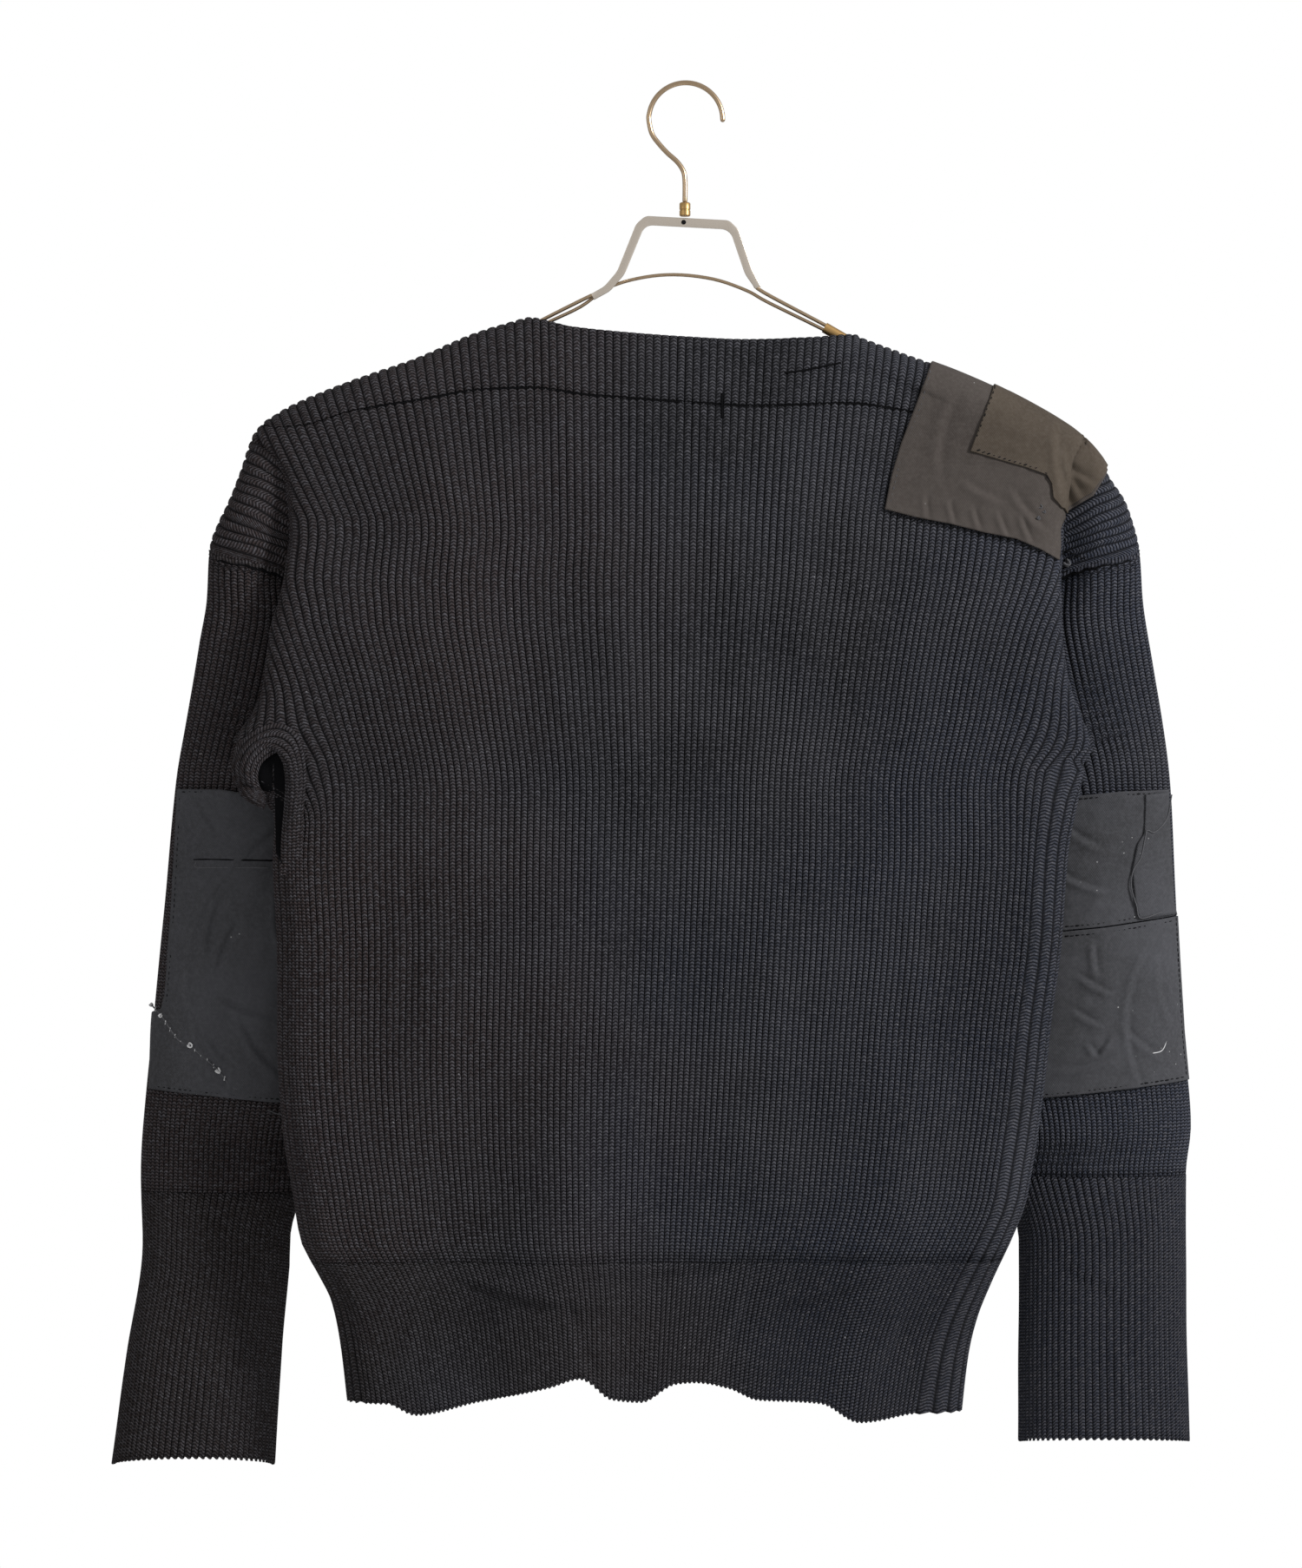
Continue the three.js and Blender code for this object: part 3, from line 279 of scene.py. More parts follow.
def back_point(side, rib, height):
    """Points of the back, by rib (0 at the side seam) and height."""
    sign = SIGN[side]
    rib, height = np.broadcast_arrays(np.asarray(rib, float), np.asarray(height, float))
    edge_out = fold_at(side, height)
    round_ = along(FOLD_ROUND, height)
    # below the underarm
    settle = ease((UNDERARM - height) / 22)
    start_part = SEAM_TURN[side] * settle
    low_start = edge_out - along(OVERLAP, height), along(VALLEY_DEPTH, height) - 1.8
    low_fold = fold_point(side, mix(start_part, 2, np.clip(rib / 6, 0, 1)), height, *low_start)
    low_out = mix(edge_out - round_, sign * along(MIDDLE, height), (rib - 6) / (HALF_RIBS - 6))
    low = (np.where(rib < 6, low_fold[0], low_out),
           np.where(rib < 6, low_fold[1], back_level(side, low_out, height)))
    # the outer layer above it
    high = height > -225
    fold_rib = np.where(high, shoulder_rib(side, height), along(RIBS_AT_FOLD[side], height))
    start = np.where(high, edge_at(side, height), edge_out)
    start_y = np.where(high, -0.5 * SEAM_GAP, along(FOLD_DEPTH, height))
    out = np.minimum(start, rib_out(side, rib, height))
    inward = start - out
    turn = np.arccos(np.clip(1 - inward / round_, -1, 1))
    rounded = mix(start_y, -along(BACK_DEPTH, height), np.sin(turn))
    outer = out, np.where(inward < round_, rounded, back_level(side, out, height))
    # the fold's inner layer, and the cap beyond the valley
    valley = valley_point(side, height)
    seam = seam_share(height)
    inner = valley[0] + 0.15, valley[1] - 1.8 * seam
    valley_rib = along(RIBS_AT_VALLEY[side], height)
    part = np.clip((rib - valley_rib) / np.maximum(fold_rib - valley_rib, 1e-3), 0, 1)
    tucked = fold_point(side, part, height, *inner)
    edge_rib = shoulder_rib(side, np.maximum(height, ARM_TOP))
    cap_part = np.clip((rib - edge_rib) / np.maximum(valley_rib - edge_rib, 1e-3), 0, 1)
    low_part = mix(seam, 1, np.clip(rib / np.maximum(valley_rib, 1e-3), 0, 1))
    cap_part = np.where(height < ARM_TOP, low_part, cap_part)
    cap = cap_point(side, cap_part, height, *inner, -1)
    cap = cap[0], np.minimum(cap[1], -0.5 * SEAM_GAP)
    is_outer = (rib >= fold_rib) | high
    is_tucked = rib >= valley_rib
    pick = [np.where(is_outer, outer[k], np.where(is_tucked, tucked[k], cap[k])) for k in (0, 1)]
    return np.stack([sign * np.where(height < UNDERARM, low[0], pick[0]),
                     np.where(height < UNDERARM, low[1], pick[1]), height], -1)


def front_start(side, height):
    valley_out, valley_y = valley_point(side, height)
    y = along(FRONT_VALLEY, height)
    apart = np.clip((y - valley_y) / 6, 0, 1)
    return valley_out - 2.4 + 3.8 * apart, y


def front_level(side, out, height, start_out, start_y):
    depth = along(FRONT_DEPTH, height)
    flat_from = start_out - mix(8, 42, np.clip((-height - 360) / 80, 0, 1))
    rise = ease((flat_from - out) / 62)
    return mix(start_y, depth - drape(SIGN[side] * out, height, 0.8) * rise, rise)


def front_point(side, rib, height):
    """Points of the front, by rib (0 at the side seam) and height."""
    sign = SIGN[side]
    rib, height = np.broadcast_arrays(np.asarray(rib, float), np.asarray(height, float))
    centre = sign * along(MIDDLE, height)
    settle = ease((UNDERARM - height) / 22)
    low_start = fold_at(side, height) - along(OVERLAP, height), along(VALLEY_DEPTH, height) - 1.8
    wrap = mix(0.01, 9.0 if SEAM_TURN[side] > 1 else 6.0, settle)
    low_part = mix(SEAM_TURN[side] * settle, 0, np.clip(rib / wrap, 0, 1))
    low_fold = fold_point(side, low_part, height, *low_start)
    low_out = mix(low_start[0], centre, np.clip((rib - wrap) / (HALF_RIBS - wrap), 0, 1))
    low_flat = front_level(side, low_out, height, *low_start)
    low = np.where(rib < wrap, low_fold[0], low_out), np.where(rib < wrap, low_fold[1], low_flat)
    # above the cap's top
    start_out = edge_at(side, height)
    out = np.minimum(start_out, rib_out(side, rib, height))
    round_ = along(FOLD_ROUND, height)
    depth = along(FRONT_DEPTH, height)
    turn = np.arccos(np.clip(1 - (start_out - out) / round_, -1, 1))
    high = out, np.where(start_out - out < round_, mix(0.5 * SEAM_GAP, depth, np.sin(turn)), depth)
    # the chest and the cap
    start = front_start(side, height)
    valley_rib = along(RIBS_AT_VALLEY[side], height)
    chest_out = mix(start[0], centre, np.clip((rib - valley_rib) / (HALF_RIBS - valley_rib), 0, 1))
    chest = chest_out, front_level(side, chest_out, height, *start)
    edge_rib = shoulder_rib(side, np.maximum(height, ARM_TOP))
    cap_part = np.clip((rib - edge_rib) / np.maximum(valley_rib - edge_rib, 1e-3), 0, 1)
    seam_part = mix(seam_share(height), 1, np.clip(rib / np.maximum(valley_rib, 1e-3), 0, 1))
    cap_part = np.where(height < ARM_TOP, seam_part, cap_part)
    cap = cap_point(side, cap_part, height, *start, 1)
    cap = cap[0], np.maximum(cap[1], 0.5 * SEAM_GAP)
    is_chest = rib >= valley_rib
    pick = []
    for k in (0, 1):
        body = np.where(is_chest, chest[k], cap[k])
        body = np.where(height > -225, high[k], body)
        pick.append(np.where(height < UNDERARM, low[k], body))
    return np.stack([sign * pick[0], pick[1], height], -1)


def sleeve_top(rib):
    heights = np.linspace(ARM_TOP, SLEEVE_FREE, 400)
    return np.interp(np.abs(rib), along(SLEEVE_RIBS_IN, heights), heights) - 1.3


def sleeve_point(side, rib, height):
    """Points of a sleeve: rib 0 is the outer edge, plus the back half and minus the front half."""
    sign = SIGN[side]
    rib, height = np.broadcast_arrays(np.asarray(rib, float), np.asarray(height, float))
    valley_out, valley_y = valley_point(side, np.maximum(height, UNDERARM))
    free = ease((UNDERARM - height) / (UNDERARM - SLEEVE_FREE))
    fold_out = fold_at(side, UNDERARM) - along(OVERLAP, UNDERARM)
    shift = edge_at(side, height) - edge_at(side, UNDERARM)
    below = height < UNDERARM
    low_out = fold_out + along(INNER_GAP, height) + 0.6 * shift
    low_y = mix(valley_y + 2.8, along(CAP_MID, height), free)
    ribs_here = np.clip(along(SLEEVE_RIBS_IN, height), 0.5, SLEEVE_RIBS)
    part = np.clip(np.abs(rib) / ribs_here, 0, 1) * seam_share(height + SEAM_GAP)
    back = cap_point(side, part, height, np.where(below, low_out, valley_out + 0.4),
                     np.where(below, low_y - 0.2, valley_y + 2.8), -1)
    front_y = np.maximum(along(FRONT_VALLEY, height) + 4.4, valley_y + 2.9)
    front = cap_point(side, part, height, np.where(below, low_out, valley_out),
                      np.where(below, low_y + 0.2, front_y), 1)
    is_back = rib >= 0
    return np.stack([sign * np.where(is_back, back[0], front[0]),
                     np.where(is_back, back[1], front[1]), height], -1)


# ---- materials: small node groups that give masks and heights, and one material per finish ----
def new_group(name, outputs):
    tree = bpy.data.node_groups.new(name, "ShaderNodeTree")
    for label, kind in outputs:
        tree.interface.new_socket(label, in_out="OUTPUT", socket_type=kind)
    return tree, tree.nodes.new("NodeGroupOutput")


class Wiring:
    """Adds nodes to a tree; values given as sockets are linked and others set."""

    def __init__(self, tree):
        self.tree = tree

    def put(self, socket, value):
        if isinstance(value, bpy.types.NodeSocket):
            self.tree.links.new(value, socket)
        else:
            socket.default_value = value

    def math(self, operation, a, b=0.0):
        node = self.tree.nodes.new("ShaderNodeMath")
        node.operation = operation
        self.put(node.inputs[0], a)
        self.put(node.inputs[1], b)
        return node.outputs[0]

    def times(self, a, b):
        return self.math("MULTIPLY", a, b)

    def plus(self, a, b):
        return self.math("ADD", a, b)

    def minus(self, a, b):
        return self.math("SUBTRACT", a, b)

    def split(self, vector):
        node = self.tree.nodes.new("ShaderNodeSeparateXYZ")
        self.put(node.inputs[0], vector)
        return node.outputs

    def noise(self, vector, scale, detail=3.0, rough=0.6):
        node = self.tree.nodes.new("ShaderNodeTexNoise")
        self.put(node.inputs["Vector"], vector)
        node.inputs["Scale"].default_value = scale
        node.inputs["Detail"].default_value = detail
        node.inputs["Roughness"].default_value = rough
        return node.outputs["Fac"]

    def specks(self, vector, scale, size):
        node = self.tree.nodes.new("ShaderNodeTexVoronoi")
        self.put(node.inputs["Vector"], vector)
        node.inputs["Scale"].default_value = scale
        return self.ramp(node.outputs["Distance"], size, size * 0.6)

    def ramp(self, value, low, high):
        node = self.tree.nodes.new("ShaderNodeMapRange")
        self.put(node.inputs["Value"], value)
        node.inputs["From Min"].default_value = low
        node.inputs["From Max"].default_value = high
        return node.outputs["Result"]

    def blend(self, fac, a, b):
        node = self.tree.nodes.new("ShaderNodeMix")
        node.data_type = "RGBA"
        self.put(node.inputs["Factor"], fac)
        self.put(node.inputs["A"], a)
        self.put(node.inputs["B"], b)
        return node.outputs["Result"]

    def bump(self, height, strength, distance):
        node = self.tree.nodes.new("ShaderNodeBump")
        node.inputs["Strength"].default_value = strength
        node.inputs["Distance"].default_value = distance
        self.put(node.inputs["Height"], height)
        return node.outputs["Normal"]


def object_space(wiring):
    return wiring.tree.nodes.new("ShaderNodeTexCoord").outputs["Object"]


def knit_group():
    """Rib and stitch heights from the rib UV: u counts ribs and v counts courses."""
    tree, out = new_group("knit", [("Height", "NodeSocketFloat"), ("Groove", "NodeSocketFloat"),
                                   ("Stitch", "NodeSocketFloat")])
    w = Wiring(tree)
    uv = tree.nodes.new("ShaderNodeUVMap")
    uv.uv_map = "ribs"
    ribs = w.split(uv.outputs["UV"])
    jitter = w.times(w.minus(w.noise(object_space(w), 90.0), 0.5), 0.9)
    across = w.math("ABSOLUTE", w.minus(w.math("FRACT", ribs["X"]), 0.5))
    course = w.plus(w.plus(ribs["Y"], w.times(across, 1.5)), jitter)
    half = w.math("ABSOLUTE", w.minus(w.math("FRACT", course), 0.5))
    stitch = w.minus(1.0, w.times(w.times(half, 2.0), w.times(half, 2.0)))
    groove = w.ramp(across, 0.3, 0.47)
    chain = w.times(stitch, w.minus(1.0, groove))
    fuzz = w.noise(object_space(w), 1500.0, 2.0)
    tree.links.new(w.plus(w.times(chain, 0.6), w.times(fuzz, 0.4)), out.inputs["Height"])
    tree.links.new(groove, out.inputs["Groove"])
    tree.links.new(stitch, out.inputs["Stitch"])
    return tree


def wear_group():
    """Blotches, mottle, pale lint, and tints set by place: warm towards the left, cool towards the right
    and the bottom, in the object's own space.
    """
    tree, out = new_group("wear", [("Blotch", "NodeSocketFloat"), ("Mottle", "NodeSocketFloat"),
                                   ("Lint", "NodeSocketFloat"), ("Tint", "NodeSocketFloat"),
                                   ("Cool", "NodeSocketFloat")])
    w = Wiring(tree)
    where = object_space(w)
    place = w.split(where)
    lint = w.times(w.specks(where, 170.0, 0.09), w.ramp(w.noise(where, 23.0), 0.56, 0.62))
    tree.links.new(w.ramp(w.noise(where, 11.0, 4.0), 0.36, 0.66), out.inputs["Blotch"])
    tree.links.new(w.noise(where, 430.0, 4.0, 0.75), out.inputs["Mottle"])
    tree.links.new(lint, out.inputs["Lint"])
    leftward = w.times(place["X"], -1.5)
    tree.links.new(w.ramp(w.plus(w.noise(where, 5.3, 2.0), leftward), 0.44, 0.86),
                   out.inputs["Tint"])
    lower = w.times(place["Z"], -0.35)
    rightward = w.times(place["X"], 0.9)
    cool = w.plus(w.noise(where, 6.1, 3.0), w.plus(lower, rightward))
    tree.links.new(w.ramp(cool, 0.56, 0.98), out.inputs["Cool"])
    return tree


def twill_group():
    """A fine diagonal twill, with slubs."""
    tree, out = new_group("twill", [("Height", "NodeSocketFloat")])
    w = Wiring(tree)
    where = object_space(w)
    place = w.split(where)
    slant = w.plus(w.times(place["X"], 5200.0), w.times(place["Z"], 3400.0))
    line = w.math("SINE", w.plus(slant, w.times(w.noise(where, 300.0), 3.0)))
    weft = w.math("SINE", w.times(place["Z"], 9000.0))
    height = w.plus(w.times(line, 0.35), w.times(weft, 0.15))
    tree.links.new(w.plus(height, w.noise(where, 420.0, 5.0, 0.75)), out.inputs["Height"])
    return tree


GROUPS = {"knit": knit_group(), "wear": wear_group(), "twill": twill_group()}


def material(name, roughness, metallic=0.0, specular=0.5):
    mat = bpy.data.materials.new(name)
    mat.use_nodes = True
    shader = mat.node_tree.nodes["Principled BSDF"]
    shader.inputs["Roughness"].default_value = roughness
    shader.inputs["Metallic"].default_value = metallic
    shader.inputs["Specular IOR Level"].default_value = specular
    return mat, Wiring(mat.node_tree), shader


def use(wiring, name):
    node = wiring.tree.nodes.new("ShaderNodeGroup")
    node.node_tree = GROUPS[name]
    return node.outputs


# painted shade: near-black colours for the gaps between stitches and the grooves between ribs
SHADE_BETWEEN_STITCHES = (0.005, 0.005, 0.006, 1)
SHADE_IN_RIB_GROOVES = (0.003, 0.003, 0.0035, 1)
KNIT_LINT = (0.32, 0.32, 0.33, 1)
CLOTH_LINT = (0.4, 0.4, 0.4, 1)


def knit_material(name, dark, light, warm, cool):
    mat, w, shader = material(name, 0.97, specular=0.08)
    knit, wear = use(w, "knit"), use(w, "wear")
    base = w.blend(w.times(wear["Blotch"], 0.45), dark, light)
    base = w.blend(w.times(wear["Cool"], 0.6), base, cool)
    base = w.blend(w.times(wear["Tint"], 0.65), base, warm)
    mottled = w.times(w.ramp(wear["Mottle"], 0.44, 0.62), knit["Stitch"])
    base = w.blend(w.times(mottled, 0.75), base, light)
    # painted shade: darken the base colour between stitches and in the grooves between ribs
    base = w.blend(w.times(w.minus(1.0, knit["Stitch"]), 0.85), base, SHADE_BETWEEN_STITCHES)
    base = w.blend(w.times(knit["Groove"], 0.85), base, SHADE_IN_RIB_GROOVES)
    base = w.blend(w.times(wear["Lint"], 0.5), base, KNIT_LINT)
    w.put(shader.inputs["Base Color"], base)
    w.put(shader.inputs["Normal"], w.bump(knit["Height"], 1.0, 0.0022))
    return mat


def cloth_material(name, dark, light, dust):
    mat, w, shader = material(name, 0.9, specular=0.12)
    twill, wear = use(w, "twill"), use(w, "wear")
    base = w.blend(wear["Blotch"], dark, light)
    base = w.blend(w.times(w.ramp(wear["Mottle"], 0.4, 0.75), 0.5), base, dust)
    base = w.blend(w.times(wear["Lint"], 0.6), base, CLOTH_LINT)
    w.put(shader.inputs["Base Color"], base)
    w.put(shader.inputs["Normal"], w.bump(twill["Height"], 0.35, 0.0004))
    return mat


def metal_material(name, colour, stain, roughness):
    mat, w, shader = material(name, roughness, metallic=1.0)
    mottle = use(w, "wear")["Mottle"]
    w.put(shader.inputs["Base Color"], w.blend(w.times(mottle, 0.6), colour, stain))
    w.put(shader.inputs["Roughness"], w.plus(w.times(mottle, 0.25), roughness))
    w.put(shader.inputs["Normal"], w.bump(mottle, 0.08, 0.0003))
    return mat


def thread_material(name, colour, pale):
    mat, w, shader = material(name, 0.9, specular=0.05)
    w.put(shader.inputs["Base Color"], w.blend(w.noise(object_space(w), 900.0), colour, pale))
    w.put(shader.inputs["Normal"], w.bump(w.noise(object_space(w), 2500.0), 0.4, 0.0003))
    return mat


KNIT = knit_material("knit", (0.0240, 0.0242, 0.0275, 1), (0.083, 0.083, 0.094, 1),
                     (0.034, 0.0215, 0.0185, 1), (0.030, 0.037, 0.058, 1))
BAND = knit_material("band", (0.0215, 0.0210, 0.0230, 1), (0.074, 0.072, 0.080, 1),
                     (0.0235, 0.0165, 0.014, 1), (0.027, 0.032, 0.048, 1))
TWILL = cloth_material("twill", (0.033, 0.0275, 0.0245, 1), (0.044, 0.0375, 0.034, 1),
                       (0.066, 0.058, 0.053, 1))
OVERLAY = cloth_material("overlay", (0.039, 0.0305, 0.023, 1), (0.052, 0.0415, 0.0315, 1),
                         (0.071, 0.06, 0.05, 1))
ELBOW = cloth_material("elbow_twill", (0.026, 0.026, 0.028, 1), (0.038, 0.0385, 0.043, 1),
                       (0.062, 0.063, 0.070, 1))
STEEL = metal_material("steel", (0.62, 0.56, 0.49, 1), (0.30, 0.25, 0.20, 1), 0.22)
GILT = metal_material("gilt_wire", (0.44, 0.33, 0.22, 1), (0.14, 0.09, 0.05, 1), 0.18)
BRASS = metal_material("brass", (0.42, 0.27, 0.11, 1), (0.18, 0.10, 0.04, 1), 0.28)
DARK_THREAD = thread_material("dark_thread", (0.0025, 0.0025, 0.003, 1), (0.008, 0.008, 0.009, 1))
# near-black: painted shade inside the underarm curl, under the armhole seam's roll, in the left slit and
# along the yoke seam; also black thread for the yoke's darn and tick
SHADE_AND_BLACK_THREAD = thread_material("painted_shade_and_black_thread", (0.0012, 0.0012, 0.0015, 1), (0.003, 0.003, 0.0035, 1))
PALE_THREAD = thread_material("pale_thread", (0.30, 0.30, 0.31, 1), (0.5, 0.5, 0.5, 1))
GREY_THREAD = thread_material("grey_thread", (0.035, 0.035, 0.039, 1), (0.085, 0.085, 0.09, 1))


# ---- meshes ----
def place_piece(name, mesh, stands_for):
    """The object of a finished mesh, the nodes it replaces and its body."""
    piece = bpy.data.objects.new(name, mesh)
    bpy.context.scene.collection.objects.link(piece)
    if stands_for:
        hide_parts(*stands_for)
    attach(piece, "root")
    return piece


def add_mesh(name, points, faces, mat, slot, stands_for=(), uv=None):
    """A mesh object from points in millimetres; uv has one pair a point."""
    mesh = bpy.data.meshes.new(name)
    mesh.from_pydata((np.asarray(points) * MM).tolist(), [], faces)
    if uv is not None:
        layer = mesh.uv_layers.new(name="ribs")
        index = np.empty(len(mesh.loops), np.int32)
        mesh.loops.foreach_get("vertex_index", index)
        layer.data.foreach_set("uv", np.asarray(uv, np.float32)[index].ravel())
    mesh.polygons.foreach_set("use_smooth", [True] * len(mesh.polygons))
    mesh.materials.append(mat)
    mesh.update()
    return place_piece(name, mesh, stands_for)


def thicken(piece, thickness):
    solid = piece.modifiers.new("thickness", "SOLIDIFY")
    solid.thickness = thickness * MM
    solid.offset = 0.0


def grid_faces(rows, columns, flip):
    i, j = np.meshgrid(np.arange(columns - 1), np.arange(rows - 1))
    a = (j * columns + i).ravel()
    quads = np.stack([a, a + 1, a + columns + 1, a + columns], 1)
    return (quads[:, ::-1] if flip else quads).tolist()


def grid_normals(points):
    across = np.gradient(points, axis=1)
    down = np.gradient(points, axis=0)
    normal = np.cross(across, down)
    return normal / np.maximum(np.linalg.norm(normal, axis=2, keepdims=True), 1e-9)


RIB_RISE = 0.62
RIB_GROOVE = 2.1
COURSE = 2.1
KNIT_WALL = 1.5
WOVEN_WALL = 1.0


def ribbed(rib, height):
    """How far a rib's surface stands out at a rib coordinate, with slow unevenness."""
    wave = 1 + 0.18 * np.sin(height / 37 + rib * 0.7) + 0.12 * np.sin(height / 11 + rib * 2.3)
    return RIB_RISE * (1 - RIB_GROOVE * np.abs(np.cos(math.pi * rib)) ** 5) * wave


# middle x, middle z, half length, angle, half width, depth
CREASES = [
    (-102, -690, 42, -0.35, 5, 1.7), (-35, -712, 36, 0.2, 4.5, 1.5), (-150, -730, 32, 0.5, 5, 1.6),
    (60, -706, 40, -0.12, 5, 1.5), (118, -732, 34, 0.35, 5, 1.6), (-12, -748, 55, 0.08, 5, 2.0),
    (88, -762, 42, 0.3, 5, 1.7), (-98, -765, 46, -0.2, 5, 1.8), (30, -786, 34, 1.2, 5, 1.5),
    (-66, -795, 30, 1.9, 5, 1.5), (125, -800, 28, 1.1, 6, 1.6), (-168, -790, 30, 1.4, 6, 1.6),
    (-176, -560, 60, 1.45, 7, 1.3), (150, -580, 70, 1.62, 8, 1.4), (-200, -380, 40, 0.95, 7, 1.2),
    (198, -400, 46, 2.05, 7, 1.2), (-270, -690, 20, 0.7, 5, 1.5), (-265, -745, 22, -0.4, 5, 1.7),
    (275, -668, 22, 0.6, 5, 1.5), (262, -760, 24, -0.5, 5, 1.6), (-290, -810, 24, 1.1, 6, 1.4),
    (285, -820, 24, 1.9, 6, 1.4),
]


def creases(points):
    """Shallow slanting creases low in the body and across the hem band, in millimetres."""
    x, z = points[..., 0], points[..., 2]
    total = 0
    for x0, z0, length, angle, width, depth in CREASES:
        run = (x - x0) * math.cos(angle) + (z - z0) * math.sin(angle)
        off = -(x - x0) * math.sin(angle) + (z - z0) * math.cos(angle)
        off = off - 0.0016 * run * run
        fade = np.exp(-(off / width) ** 2 - (run / length) ** 4)
        total = total + 2.0 * depth * (off / width) * fade
    return total


def knit_sheet(name, points, ribs, mat, slot, stands_for, outward):
    """A ribbed sheet over a grid of points: outward is +1 where the grid's normal faces out."""
    rows, columns = points.shape[:2]
    points = points.copy()
    points[..., 1] -= creases(points)
    normal = grid_normals(points) * outward
    lifted = points + normal * ribbed(ribs, points[..., 2])[..., None]
    steps = np.linalg.norm(np.diff(points, axis=0), axis=2)
    up_from_foot = np.concatenate([np.cumsum(steps[::-1], axis=0)[::-1], np.zeros((1, columns))])
    uv = np.stack([ribs, up_from_foot / COURSE], -1).reshape(-1, 2)
    piece = add_mesh(name, lifted.reshape(-1, 3), grid_faces(rows, columns, outward < 0), mat, slot,
                     stands_for, uv)
    thicken(piece, KNIT_WALL)


def rib_columns(low, high, per_rib=4):
    return np.linspace(low, high, int(round((high - low) * per_rib)) + 1)


def whole_width(point_of, tops, lows, rows, values, below=()):
    """Grid of a panel over both halves; values run from the left seam (0) to the right (128).
    Rows share the height down to the first of the fixed heights below, then follow those."""
    halves = []
    for side, mine in (("left", values[values <= HALF_RIBS]), ("right", values[values > HALF_RIBS])):
        own = np.maximum(mine if side == "left" else 2 * HALF_RIBS - mine, 0.02)
        end = np.full(own.shape, below[0]) if len(below) else lows(side, own)
        height = mix(tops(side, own)[None, :], end[None, :], rows[:, None])
        if len(below):
            fixed = np.broadcast_to(np.array(below[1:])[:, None], (len(below) - 1, len(own)))
            height = np.concatenate([height, fixed])
        halves.append(point_of(side, np.broadcast_to(own, height.shape), height))
    return np.concatenate(halves, axis=1)


# ---- the knitted body ----
def back_top(side, own):
    """The panel's upper edge: the yoke's seam, or the shoulder line where the yoke has ended."""
    _, top = rib_top(side, own)
    height = top - 10
    for _ in range(4):
        height = by_width(YOKE_SEAM, SIGN[side] * rib_out(side, own, np.minimum(top, height)))
    return mix(top, np.minimum(top, height), np.clip((own - 13.4) / 1.5, 0, 1))


def front_top(side, own):
    return rib_top(side, own)[1] - 13 * ease((own - SHOULDER_RIBS) / 12) - (own > SHOULDER_RIBS)


def level(height):
    return lambda side, own: np.full(own.shape, height)


def hem_low(point_of):
    def low(side, own):
        x = point_of(side, own, np.full(own.shape, BAND_TOP))[..., 0]
        return by_width(HEM_EDGE, x) + 0.7 * np.sin(2 * math.pi * own)
    return low


def find_rib(point_of, side, out, height, low, high):
    """The rib lying a distance out at each height, where out falls as the rib rises."""
    low, high = np.full(out.shape, float(low)), np.full(out.shape, float(high))
    for _ in range(20):
        guess = (low + high) / 2
        beyond = SIGN[side] * point_of(side, guess, height)[..., 0] > out
        low, high = np.where(beyond, guess, low), np.where(beyond, high, guess)
    return (low + high) / 2


def even_back(side, rib, height):
    """The back with its ribs running straight past the underarm, which only the first few follow."""
    kept = [row for row in FOLD[side] if not -484 < row[0] < -346]
    pull = fold_at(side, height) - (along(kept, height) - 1.2)
    middle = SIGN[side] * along(MIDDLE, height)
    upper = rib_out(side, rib, height) - pull * (1 - rib / HALF_RIBS)
    round_from = fold_at(side, height) - pull - along(FOLD_ROUND, height)
    lower = mix(round_from, middle, (rib - 6) / (HALF_RIBS - 6))
    target = mix(upper, lower, ease((-395 - height) / 85))
    found = find_rib(back_point, side, target, height, 0.5, 64)
    fold_rib = np.maximum(along(RIBS_AT_FOLD[side], height), 2)
    share = ease((rib - fold_rib - 1) / 8) * ease((-322 - height) / 50) * ease((height + 540) / 60)
    return back_point(side, mix(rib, found, share), height)


ALL_RIBS = rib_columns(0, 2 * HALF_RIBS)
OWN_RIBS = np.where(ALL_RIBS <= HALF_RIBS, ALL_RIBS, 2 * HALF_RIBS - ALL_RIBS)
PANEL_ROWS = np.linspace(0, 1, 32)
PANEL_LEVELS = np.concatenate([[ARM_TOP - 0.6], np.arange(-297, -318, -2.6), np.arange(-322, -480, -6.6),
                               np.linspace(-482, BAND_TOP + 0.15, 27)])


def rib_grid(points):
    return np.broadcast_to(ALL_RIBS[None, :], points.shape[:2])


back = whole_width(even_back, back_top, None, PANEL_ROWS, ALL_RIBS, PANEL_LEVELS)
knit_sheet("back_knit", back, rib_grid(back), KNIT, "knit", ["back_panel"], -1)
front = whole_width(front_point, front_top, None, PANEL_ROWS, ALL_RIBS, PANEL_LEVELS)
knit_sheet("front_knit", front, rib_grid(front), KNIT, "knit", ["front_panel"], 1)
short = np.linspace(0, 1, 20)
for name, point_of, outward, node in (("back_hem", back_point, -1, "back_band"),
                                      ("front_hem", front_point, 1, "front_band")):
    band = whole_width(point_of, level(BAND_TOP - 0.15), hem_low(point_of), short, ALL_RIBS)
    band[..., 1] += outward * 0.9 * np.sin(short * math.pi * 2.2)[:, None] ** 2
    knit_sheet(name, band, rib_grid(band), BAND, "band", [node], outward)

YOKE_RIBS = ALL_RIBS[OWN_RIBS > 14.2]
yoke = whole_width(back_point, lambda side, own: rib_top(side, own)[1],
                   lambda side, own: np.minimum(back_top(side, own) + 0.6, rib_top(side, own)[1] - 1),
                   np.linspace(0, 1, 16), YOKE_RIBS)
knit_sheet("yoke_strip", yoke, np.broadcast_to(YOKE_RIBS[None, :], yoke.shape[:2]), KNIT, "knit",
           ["back_yoke"], -1)

# ---- sleeves and cuffs ----

